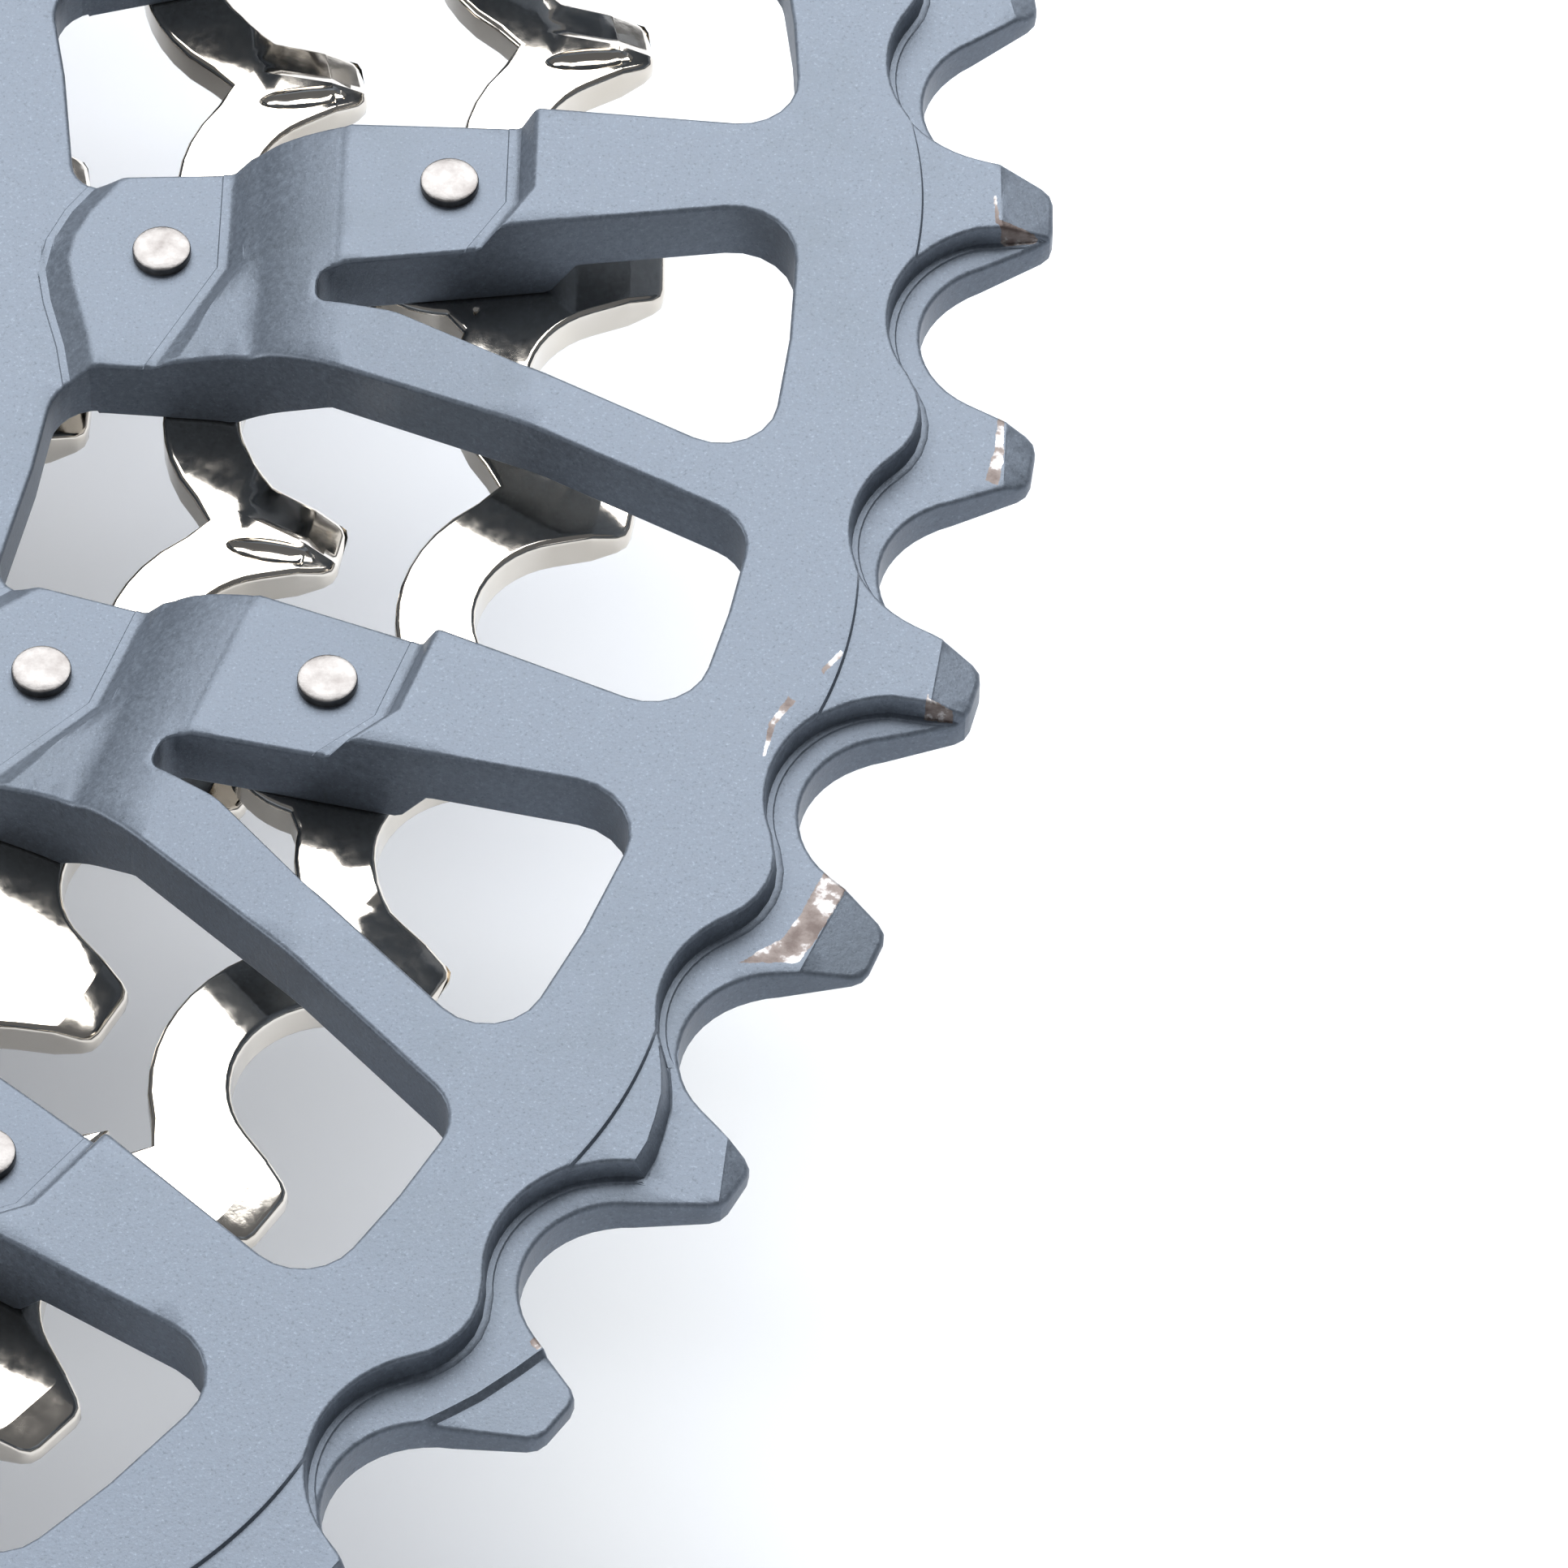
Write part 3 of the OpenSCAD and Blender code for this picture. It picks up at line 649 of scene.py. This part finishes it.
def spider_top(points):
    r = np.hypot(points[:, 0], points[:, 1])
    x, y = arm_frame(points)
    first = slanted(x, y, *STEP_1_FOOT)
    second = slanted(x, y, *STEP_2_FOOT)
    inner = edge_side(x, y, PAD_3_EDGE)
    arm = np.where(x > 76.9, PAD_1_Z + np.interp(first, *STEP_1), np.interp(x, *SLOPE))
    brace = np.interp(x, *RAMP)
    climb = np.where((y > BRACE_Y) | (x < WINDOW_X), arm, brace)
    pad = np.minimum(np.interp(inner, *PAD_3_STEP), PAD_2_Z) + np.interp(second, *STEP_2)
    pad = np.minimum(pad, np.maximum(SLOPE[1][0] - FALL * np.maximum(CLIMB_START - x, 0), PAD_2_Z))
    z = np.where(x > CLIMB_START, np.maximum(climb, pad), pad)
    z = np.where(r < 64, RING_Z, z)
    outer = r > 92
    z[outer] = rim_face(points[outer])
    return z


def spider_bottom(points):
    r = np.hypot(points[:, 0], points[:, 1])
    x, y = arm_frame(points)
    z = np.where((y > BRACE_Y) | (x < WINDOW_X), np.interp(x, *UNDER_ARM), np.interp(x, *UNDER_BRACE))
    z = np.where(r < TAB_RECESS[1], TAB_RECESS[2], z)
    z = np.where(r < TAB_RECESS[0], RING_BOTTOM_Z, z)
    a = np.degrees(np.arctan2(points[:, 1], points[:, 0]))
    z = z + np.interp(r, [100.5, 102.5, 106.4], [0, 0.08, 0.6])
    near = np.round(a / SPOKE_STEP - 0.5) + 0.5
    boss = np.hypot(*(points - polar(BOSS_CIRCLE_R, near * SPOKE_STEP)).T)
    return z - np.interp(boss, [BOSS_R - 0.12, BOSS_R - 0.03, BOSS_R], [1, 0.93, 0]) * (RING_BOTTOM_Z - top_z(3))


def spider_lines():
    """Edges that the spider's surface needs where its slopes begin and end."""
    lines = []
    arm = []
    for s in STEP_1[0]:
        arm.append(slanted_line(*STEP_1_FOOT, s, 6.5, 4.6))
    for s in STEP_2[0]:
        arm.append(slanted_line(*STEP_2_FOOT, s, 6.5, 8.2))
    for s in PAD_3_STEP[0]:
        forward = np.gradient(PAD_3_EDGE, axis=0)
        forward /= np.linalg.norm(forward, axis=1)[:, None]
        arm.append(PAD_3_EDGE + np.column_stack([-forward[:, 1], forward[:, 0]]) * s)
    for x in SLOPE[0]:
        arm.append(np.array([[x, BRACE_Y if x > 76 else -9.5], [x, 6.5]]))
    for x in RAMP[0][7:]:
        arm.append(np.array([[x, -21.5 if x > 82 else -13], [x, BRACE_Y]]))
    for x in UNDER_ARM[0]:
        arm.append(np.array([[x, BRACE_Y if x > 74 else -9.5], [x, 6.5]]))
    for x in UNDER_BRACE[0][2:]:
        arm.append(np.array([[x, -21.5 if x > 82 else -13], [x, BRACE_Y]]))
    for line in arm:
        lines += [(l, False) for l in on_arms(densified(line, 1.6, closed=False))]
    recess = [r + s for r in TAB_RECESS[:2] for s in (-0.03, 0.03)]
    for r in (64, *recess, 92):
        lines.append((circle(r, steps=360), True))
    for i in range(SPOKES):
        centre = polar(BOSS_CIRCLE_R, (i + 0.5) * SPOKE_STEP)
        for r in (BOSS_R - 0.12, BOSS_R - 0.03, BOSS_R):
            lines.append((circle(r, centre, 24), True))
    for k in range(TEETH):
        a = FIRST_TOOTH - k * 360 / TEETH
        if k % 2:
            for s in (-0.18, -0.1, -0.04, 0, 0.07, 0.3, 0.36):
                side = offset(POCKET, s if signed_area(POCKET) > 0 else -s)
                lines.append((turn(side[1:], a), False))
        else:
            for s in (-0.1, 0, 0.08):
                arc = polar(WIDE_STEP[1] + s, np.linspace(-17, 17, 19)) + [WIDE_STEP[0], 0]
                lines.append((turn(arc, a), False))
        for kind in cuts_of(k):
            line, (far, _) = TOOTH_CUTS[kind]
            for s in far[:-1] if far[-1] > 1 else far:
                cut = densified(np.array(line) + [s * widening(line), 0], 1.0, closed=False)
                lines.append((turn(cut, a), False))
    for patch in WORN_PATCHES:
        lines += [(patch, True), (offset(patch, WEAR_EDGE), True)]
    return lines


# Bare metal: the teeth that have a patch, and the patch's outline in the tooth's frame.
WORN = [
    (
        (3, 16, 29, 42),
        ((103.2, 3.1), (103.1, 0.6), (102.9, -0.9), (101.6, -2.9), (104.0, -1.9), (104.25, -0.6), (104.5, 3.1)),
    ),
    ((1, 7, 19, 33), ((104.7, 2.2), (104.8, 0.4), (104.6, -1.3), (105.3, -1.6), (105.35, 0), (105.1, 2.2))),
    (
        (0, 10, 24, 40),
        ((103.9, 0.6), (104.0, -0.9), (104.4, -1.5), (105.9, -1.3), (105.9, -1.0), (104.3, -0.7), (104.15, 0.6)),
    ),
    ((2, 20, 36), ((104.6, -0.2), (104.7, -1.4), (106.0, -1.3), (105.9, -0.9), (104.9, -0.9))),
    ((5, 21, 35), ((103.6, 3.3), (103.5, 2.2), (104.1, 2.0), (104.3, 3.0))),
    ((3,), ((98.9, 9.6), (98.7, 8.0), (99.1, 6.2), (99.3, 6.3), (99.1, 8.0), (99.4, 9.4))),
    ((3,), ((100.0, 12.6), (99.6, 11.2), (99.9, 11.0), (100.3, 12.4))),
]
# Width of the edge over which a bare patch fades.
WEAR_EDGE = 0.12


def worn_patches():
    """The outline of every bare patch, anticlockwise."""
    out = []
    for teeth, shape in WORN:
        loop = np.array(shape, float)
        loop = loop if signed_area(loop) > 0 else loop[::-1]
        loop = densified(loop, 0.6)
        out += [turn(loop, FIRST_TOOTH - k * 360 / TEETH) for k in teeth]
    return out


WORN_PATCHES = worn_patches()


def wear_of(points):
    """1 inside the bare patches, falling to 0 at their edges."""
    out = np.zeros(len(points))
    for patch in WORN_PATCHES:
        near = np.hypot(*(points - patch.mean(0)).T) < 6
        share = np.clip(signed_distance(points[near], patch) / WEAR_EDGE, 0, 1)
        out[near] = np.maximum(out[near], share)
    return out


def make_spider():
    outline = densified(sprocket_outline(TEETH, lean=6.5), 1.2)
    loops = [outline, circle(HUB_INNER_R, steps=96)]
    for i in range(ARMS):
        loops.append(turn(densified(BRACE_WINDOW, 1.5), arm_angle(i)))
        loops.append(turn(densified(ARM_WINDOW, 1.5), arm_angle(i)))
    for i in range(SPOKES):
        loops.append(turn(densified(SPOKE_WINDOW, 3), i * SPOKE_STEP))
    ob = plate("spider", loops, spider_lines(), spider_top, spider_bottom)
    at = np.array([v.co[:] for v in ob.data.vertices]) / MM
    wear = wear_of(at[:, :2]) * (at[:, 2] > RIM_Z - 2.2)
    ob.data.attributes.new("wear", "FLOAT", "POINT").data.foreach_set("value", wear)
    return ob


# ---------------------------------------------------------------- steel sprockets
def steel_face(place, n, gap_angle, ramps):
    """Height of a steel sprocket's upper face: bevelled tips, and milled ramps on some teeth."""
    high, pitch, tip = top_z(place), pitch_r(n), tip_r(n)

    def face(points):
        r = np.hypot(points[:, 0], points[:, 1])
        a = np.degrees(np.arctan2(points[:, 1], points[:, 0])) - gap_angle - 180 / n
        k = np.round(a * n / 360).astype(int) % n
        local = np.radians(a - np.round(a * n / 360) * 360 / n)
        x, y = r * np.cos(local) - pitch, r * np.sin(local)
        out = high - np.interp(r, [tip - 1.5, tip - 1.42, tip], [0, 0.03, 0.42])
        ramp = np.isin(k % 4, ramps)
        # a long facet leans off the tooth's side, with a lens-shaped pit in front of it
        lean = (x * 0.35 + (y + 0.55)) / math.hypot(0.35, 1)
        facet = np.interp(lean, [0, 0.06, 2.2], [0, 0.06, 0.75]) * np.interp(x, [-3.4, -2.2], [0, 1])
        pit = ((x + 1.5) / 1.9) ** 2 + ((y + 1.15) / 0.62) ** 2
        out -= np.where(ramp, np.maximum(facet, 0.42 * np.sqrt(np.clip(1 - pit, 0, 1))), 0)
        return out

    return face


def tooth_lines(n, gap_angle, ramps):
    tip, pitch = tip_r(n), pitch_r(n)
    lines = [(circle(tip - s, steps=n * 8), True) for s in (1.5, 1.42, 0.7)]
    for k in range(n):
        if k % 4 not in ramps:
            continue
        a = gap_angle + (k + 0.5) * 360 / n
        for s in (0, 0.06, 0.5, 1.0):
            p = np.array([[-3.4, 0.64 + s], [-2.2, 0.22 + s], [1.4, -1.04 + s]]) + [pitch, 0]
            lines.append((turn(densified(p, 0.8, closed=False), a), False))
        for share in (1, 0.93, 0.75, 0.4):
            oval = polar(1.0, np.arange(20) * 18.0) * [1.9 * share, 0.62 * share] + [pitch - 1.5, -1.15]
            lines.append((turn(oval, a), True))
    return lines


def steel_underside(place, n):
    """Height of a steel sprocket's lower face, with bevelled tips."""

    def face(points):
        r = np.hypot(points[:, 0], points[:, 1])
        return np.full(len(points), bottom_z(place)) + np.interp(r, [tip_r(n) - 1.5, tip_r(n)], [0, 0.42])

    return face


def riveted_ring(name, place, n, gap_angle, rivet, ramps):
    """A ring riveted to the spider: an even band behind the teeth and a round tab at each rivet."""
    tab_r, band_r = 4.3, root_r(n) - 2.6
    outline = densified(sprocket_outline(n, gap_angle), 1.2)
    band = band_outline(n, 3.3, root_r(n) - 0.45, gap_angle)
    x, y = rivet
    wedge = np.array([[x, y - tab_r], [band_r, y - tab_r - 1.5], [band_r, y + tab_r + 1.5], [x, y + tab_r]])
    tabs = on_arms(circle(tab_r, rivet, 48))
    wedges = on_arms(densified(wedge, 1.2))

    def member(points):
        solid = ~inside(points, band)
        for shape in tabs + wedges:
            solid |= inside(points, shape)
        return solid & inside(points, outline)

    loops = [outline, band] + tabs + wedges
    sides = [1, -1] + [1] * (2 * ARMS)
    lines, face = tooth_lines(n, gap_angle, ramps), steel_face(place, n, gap_angle, ramps)
    return plate(name, loops, lines, face, steel_underside(place, n), 0.28, member, (0.1, 0.35, 0.7, 1.0), sides)


def dome_ring(name, place, n, bore_r, holes, ramps):
    """A sprocket of the dome; holes are (count, circle radius, hole radius, phase)."""
    loops = [densified(sprocket_outline(n), 1.2), circle(bore_r, steps=96)]
    for count, radius, hole_r, phase in holes:
        for i in range(count):
            loops.append(circle(hole_r, polar(radius, phase + i * 360 / count), 32)[::-1])
    return plate(name, loops, tooth_lines(n, 0, ramps), steel_face(place, n, 0, ramps), steel_underside(place, n))


# ---------------------------------------------------------------- rivets and pins
def ring_places(count, radius, phase=0.0):
    return [(*polar(radius, phase + i * 360 / count), phase + i * 360 / count) for i in range(count)]


def arm_places(spot):
    return [(*turn([spot], arm_angle(i))[0], arm_angle(i)) for i in range(ARMS)]


def rivets(name, places, low, high):
    """Rivets with a worked flat end on top and a set head underneath."""
    top = high + 0.4
    profile = [
        (0.9, low - 0.56), (1.6, low - 0.6), (1.86, low - 0.57), (1.97, low - 0.47), (2.0, low - 0.3), (2.0, low),
        (RIVET_R, low), (RIVET_R, top - 0.12), (RIVET_R - 0.04, top - 0.04), (RIVET_R - 0.13, top),
        (0.7, top - 0.012), (0.3, top - 0.02),
    ]
    return turned(name, profile, places)


def pins(name, place, smaller, count, phase):
    low, high = bottom_z(place + 1), top_z(place)
    a, b = top_z(place + 1), bottom_z(place)
    profile = [
        (0.6, low + 0.05), (0.95, low), (1.05, low + 0.03), (1.1, low + 0.1), (1.1, a), (1.66, a), (1.7, a + 0.05),
        (1.7, b - 0.05), (1.66, b), (1.1, b), (1.1, high - 0.1), (1.05, high - 0.03), (0.95, high), (0.6, high - 0.05),
    ]
    return turned(name, profile, ring_places(count, pin_circle_r(smaller), phase), 32)


# ---------------------------------------------------------------- materials
def srgb(r, g, b):
    """A linear colour from 0 to 255 display values."""
    return tuple((c / 255 / 12.92 if c <= 10 else ((c / 255 + 0.055) / 1.055) ** 2.4) for c in (r, g, b)) + (1,)


class Finish:
    """A node material under construction."""

    def __init__(self, name):
        self.material = bpy.data.materials.new(name)
        self.material.use_nodes = True
        self.tree = self.material.node_tree
        self.shader = self.tree.nodes["Principled BSDF"]
        self.place = self.node("ShaderNodeTexCoord").outputs["Object"]

    def node(self, kind, **settings):
        n = self.tree.nodes.new(kind)
        for key, value in settings.items():
            setattr(n, key, value)
        return n

    def join(self, a, b):
        self.tree.links.new(a, b)

    def set(self, **values):
        for key, value in values.items():
            self.shader.inputs[key.replace("_", " ")].default_value = value

    def noise(self, scale, detail=2.0, rough=0.5, stretch=None):
        n = self.node("ShaderNodeTexNoise")
        n.inputs["Scale"].default_value = scale
        n.inputs["Detail"].default_value = detail
        n.inputs["Roughness"].default_value = rough
        where = self.place
        if stretch:
            m = self.node("ShaderNodeMapping")
            m.inputs["Scale"].default_value = stretch
            self.join(where, m.inputs["Vector"])
            where = m.outputs["Vector"]
        self.join(where, n.inputs["Vector"])
        return n.outputs["Fac"]

    def ramp(self, value, stops):
        n = self.node("ShaderNodeValToRGB")
        elements = n.color_ramp.elements
        while len(elements) < len(stops):
            elements.new(0.5)
        for e, (at, colour) in zip(elements, stops):
            e.position = at
            e.color = colour if len(colour) == 4 else (*colour, 1)
        self.join(value, n.inputs["Fac"])
        return n.outputs["Color"]

    def mix(self, factor, a, b):
        n = self.node("ShaderNodeMix", data_type="RGBA")
        for value, socket in ((factor, n.inputs[0]), (a, n.inputs[6]), (b, n.inputs[7])):
            if hasattr(value, "is_output"):
                self.join(value, socket)
            else:
                socket.default_value = value
        return n.outputs[2]

    def map(self, value, low, high, to_low, to_high):
        n = self.node("ShaderNodeMapRange")
        for socket, x in zip(("From Min", "From Max", "To Min", "To Max"), (low, high, to_low, to_high)):
            n.inputs[socket].default_value = x
        self.join(value, n.inputs["Value"])
        return n.outputs["Result"]

    def bump(self, heights):
        """Bumps of several (height, strength, distance) laid over each other."""
        normal = None
        for height, strength, distance in heights:
            n = self.node("ShaderNodeBump")
            n.inputs["Strength"].default_value = strength
            n.inputs["Distance"].default_value = distance
            self.join(height, n.inputs["Height"])
            if normal is not None:
                self.join(normal, n.inputs["Normal"])
            normal = n.outputs["Normal"]
        self.join(normal, self.shader.inputs["Normal"])


def grey(v):
    return (v, v, v, 1)


def anodised():
    f = Finish("anodised_grey_blue")
    f.set(Metallic=0.5, IOR=1.45)
    fine = f.noise(8200, 2, 0.6)
    grain = f.noise(3600, 3, 0.6)
    cloud = f.noise(85, 5, 0.65)
    base = f.ramp(grain, [(0.3, srgb(80, 88, 98)), (0.5, srgb(86, 94, 105)), (0.7, srgb(94, 103, 114))])
    speck = f.ramp(fine, [(0.6, grey(0)), (0.72, grey(0.5))])
    base = f.mix(speck, base, srgb(112, 122, 134))
    pits = f.ramp(fine, [(0.3, grey(0.55)), (0.4, grey(0))])
    base = f.mix(pits, base, srgb(62, 69, 77))
    stain = f.ramp(cloud, [(0.54, grey(0)), (0.72, grey(0.3))])
    base = f.mix(stain, base, srgb(72, 80, 86))
    worn = f.node("ShaderNodeAttribute", attribute_name="wear").outputs["Fac"]
    rub, ragged = f.noise(900, 4, 0.6), f.noise(2600, 3, 0.7)
    amount = f.node("ShaderNodeMath", operation="MULTIPLY_ADD")
    f.join(worn, amount.inputs[0])
    amount.inputs[1].default_value = 0.55
    f.join(ragged, amount.inputs[2])
    bare = f.ramp(amount.outputs[0], [(0.78, grey(0)), (0.84, grey(1))])
    metal = f.ramp(rub, [(0.38, srgb(74, 64, 61)), (0.52, srgb(104, 96, 93)), (0.64, srgb(196, 196, 198))])
    base = f.mix(bare, base, metal)
    f.join(base, f.shader.inputs["Base Color"])
    f.join(f.map(grain, 0.3, 0.7, 0.44, 0.54), f.shader.inputs["Roughness"])
    f.bump([(fine, 0.25, 0.00003), (grain, 0.2, 0.00005)])
    return f.material


def nickel():
    f = Finish("polished_nickel")
    f.set(Metallic=1.0)
    broad, fine = f.noise(160, 3, 0.5), f.noise(1600, 3, 0.6)
    base = f.ramp(broad, [(0.3, srgb(182, 175, 165)), (0.7, srgb(202, 197, 189))])
    f.join(base, f.shader.inputs["Base Color"])
    f.join(f.map(fine, 0.3, 0.75, 0.07, 0.17), f.shader.inputs["Roughness"])
    f.bump([(broad, 0.12, 0.0003), (fine, 0.08, 0.00005)])
    return f.material


def rivet_steel():
    f = Finish("rivet_steel")
    f.set(Metallic=1.0)
    worked, fine = f.noise(900, 5, 0.65), f.noise(4200, 2, 0.5)
    base = f.ramp(worked, [(0.3, srgb(84, 81, 80)), (0.5, srgb(106, 104, 103)), (0.72, srgb(132, 130, 129))])
    f.join(base, f.shader.inputs["Base Color"])
    f.join(f.map(worked, 0.3, 0.7, 0.28, 0.45), f.shader.inputs["Roughness"])
    f.bump([(worked, 0.3, 0.00009), (fine, 0.15, 0.00003)])
    return f.material


def satin_steel(name, dark, light, rough):
    f = Finish(name)
    f.set(Metallic=1.0)
    turned_marks = f.noise(700, 3, 0.6, (1, 1, 9))
    fine = f.noise(3000, 2, 0.5)
    f.join(f.ramp(turned_marks, [(0.3, dark), (0.7, light)]), f.shader.inputs["Base Color"])
    f.join(f.map(fine, 0.3, 0.7, rough - 0.06, rough + 0.08), f.shader.inputs["Roughness"])
    f.bump([(turned_marks, 0.2, 0.00004), (fine, 0.15, 0.00003)])
    return f.material


def paper():
    f = Finish("white_sheet")
    f.set(Roughness=0.85)
    base = f.ramp(f.noise(14, 4, 0.55), [(0.3, srgb(243, 247, 255)), (0.7, srgb(249, 252, 255))])
    f.join(base, f.shader.inputs["Base Color"])
    f.bump([(f.noise(900, 3, 0.6), 0.04, 0.0001)])
    return f.material


# ---------------------------------------------------------------- building
ANODISED, NICKEL, RIVET = anodised(), nickel(), rivet_steel()
CARRIER = satin_steel("carrier_steel", srgb(96, 96, 99), srgb(140, 140, 143), 0.34)
SLEEVE = satin_steel("sleeve_alloy", srgb(150, 152, 156), srgb(186, 188, 192), 0.3)
SPRING = satin_steel("spring_steel", srgb(70, 70, 74), srgb(104, 104, 108), 0.3)


def place_piece(ob, node, material, body="cluster"):
    ob.data.materials.clear()
    ob.data.materials.append(material)
    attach(ob, body)
    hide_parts(node)


def dress_node(node, material, width=0.12):
    """A CAD node that stays as it is: its own material, and small rounded edges."""
    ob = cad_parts[node]
    ob.data.materials.clear()
    ob.data.materials.append(material)
    weld = ob.modifiers.new("weld", "WELD")
    weld.merge_threshold = 0.000002
    bevel = ob.modifiers.new("edges", "BEVEL")
    bevel.width = width * MM
    bevel.segments = 2
    bevel.limit_method = "ANGLE"
    bevel.angle_limit = math.radians(35)
    normals = ob.modifiers.new("weighted", "WEIGHTED_NORMAL")
    normals.keep_sharp = True


def pin_holes(smaller):
    """Holes of the pins in one joint, as dome_ring takes them."""
    count, phase = PIN_JOINTS[smaller]
    return (count, pin_circle_r(smaller), PIN_R, phase)


def place_steel(ob, node):
    place_piece(ob, node, NICKEL)


def place_rivets(ob, node):
    place_piece(ob, node, RIVET)


place_piece(make_spider(), "sprocket_52_spider", ANODISED)
place_steel(riveted_ring("sprocket_ring_44", 1, 44, 0.69, PAD_1_RIVET, (0, 1)), "sprocket_44")
place_steel(riveted_ring("sprocket_ring_38", 2, 38, 1.69, PAD_2_RIVET, (0, 1)), "sprocket_38")

# Holes of each dome sprocket, from 32 teeth down.
DOME = [
    (32, [(SPOKES, BOSS_CIRCLE_R, RIVET_R, SPOKE_STEP / 2), pin_holes(28), (14, 54.6, 2.6, 0)]),
    (28, [pin_holes(28), pin_holes(24), (14, 46.2, 2.9, 180 / 14)]),
    (24, [pin_holes(24), pin_holes(21), (12, 39.2, 2.3, 0)]),
    (21, [pin_holes(21), pin_holes(18), (10, 33.4, 2.2, 0)]),
    (18, [pin_holes(18), pin_holes(16)]),
    (16, [pin_holes(16), pin_holes(14)]),
    (14, [pin_holes(14), pin_holes(12)]),
    (12, [pin_holes(12)]),
]
for i, (n, holes) in enumerate(DOME):
    place = 3 + i
    bore_r = pin_circle_r(DOME[i + 1][0]) - 2.2 if n > 14 else NOSE_OUTER_R
    ramps = (0, 2) if place % 2 else (1, 3)
    place_steel(dome_ring(f"sprocket_plate_{n}", place, n, bore_r, holes, ramps), f"sprocket_{n}")

place_rivets(rivets("rivet_set_44", arm_places(PAD_1_RIVET), bottom_z(1), PAD_1_Z), "rivets_44")
place_rivets(rivets("rivet_set_38", arm_places(PAD_2_RIVET), bottom_z(2), PAD_2_Z), "rivets_38")
bosses = ring_places(SPOKES, BOSS_CIRCLE_R, SPOKE_STEP / 2)
place_rivets(rivets("rivet_set_32", bosses, bottom_z(3), RING_Z), "rivets_32")
flange = ring_places(7, CARRIER_RIVET_CIRCLE_R)
place_rivets(rivets("rivet_set_carrier", flange, RING_BOTTOM_Z - CARRIER_FLANGE_T, RING_Z), "rivets_carrier")
for i, (smaller, (count, phase)) in enumerate(PIN_JOINTS.items()):
    pair = f"{DOME[i][0]}_{smaller}"
    place_rivets(pins("pin_set_" + pair, 3 + i, smaller, count, phase), "pins_" + pair)
dress_node("driver_carrier", CARRIER)
dress_node("sprocket_10_nose", NICKEL)
dress_node("lock_sleeve", SLEEVE, 0.08)
dress_node("lock_circlip", SPRING, 0.08)


# ---------------------------------------------------------------- camera, light and floor
def add_camera():
    """The camera, seen from 444 mm away, tilted 37 degrees off the rim's face."""
    rx, ry, rz = -0.6471, 0.0208, 0.029
    turn_x, turn_y, turn_z = (Matrix.Rotation(a, 4, axis) for a, axis in ((rx, "X"), (ry, "Y"), (rz, "Z")))
    away = Matrix.Translation(Vector((-95.2055, 26.841, -444.2888)) * MM)
    seen = away @ turn_y @ turn_x @ turn_z @ Matrix.Translation((0, 0, -RIM_Z * MM))
    data = bpy.data.cameras.new("camera")
    data.sensor_width, data.lens = 36, 244.91
    data.clip_start, data.clip_end = 0.01, 20
    ob = bpy.data.objects.new("camera", data)
    ob.matrix_world = seen.inverted()
    bpy.context.scene.collection.objects.link(ob)
    bpy.context.scene.camera = ob


def softbox(name, at, towards, size, watts, colour=(1, 1, 1)):
    data = bpy.data.lights.new(name, "AREA")
    data.shape, (data.size, data.size_y) = "RECTANGLE", size
    data.energy, data.color = watts, colour
    ob = bpy.data.objects.new(name, data)
    ob.location = at
    ob.rotation_euler = (Vector(towards) - Vector(at)).to_track_quat("-Z", "Y").to_euler()
    bpy.context.scene.collection.objects.link(ob)


def add_floor():
    mesh = bpy.data.meshes.new("floor_sheet")
    steps = 24
    size = 6.0
    row = steps + 1
    points = [((i / steps - 0.5) * size, (j / steps - 0.5) * size, 0) for j in range(row) for i in range(row)]
    corners = [j * row + i for j in range(steps) for i in range(steps)]
    faces = [(c, c + 1, c + row + 1, c + row) for c in corners]
    mesh.from_pydata(points, [], faces)
    mesh.materials.append(paper())
    ob = bpy.data.objects.new("floor_sheet", mesh)
    bpy.context.scene.collection.objects.link(ob)
    ob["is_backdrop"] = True


def add_world():
    world = bpy.data.worlds.new("studio")
    world.use_nodes = True
    background = world.node_tree.nodes["Background"]
    background.inputs["Color"].default_value = srgb(246, 249, 255)
    background.inputs["Strength"].default_value = 0.22
    bpy.context.scene.world = world


add_camera()
add_world()
add_floor()
softbox("key", (0.1, 0.95, 1.15), (0.05, 0, 0), (1.9, 1.2), 58)
softbox("left", (-1.3, 0.1, 0.18), (0, 0, 0.03), (0.9, 0.3), 12)
softbox("under_fill", (-0.1, -0.9, 0.35), (0, 0, 0), (1.6, 0.3), 3)
bpy.context.scene.view_settings.view_transform = "Standard"

write_size("before_finish")
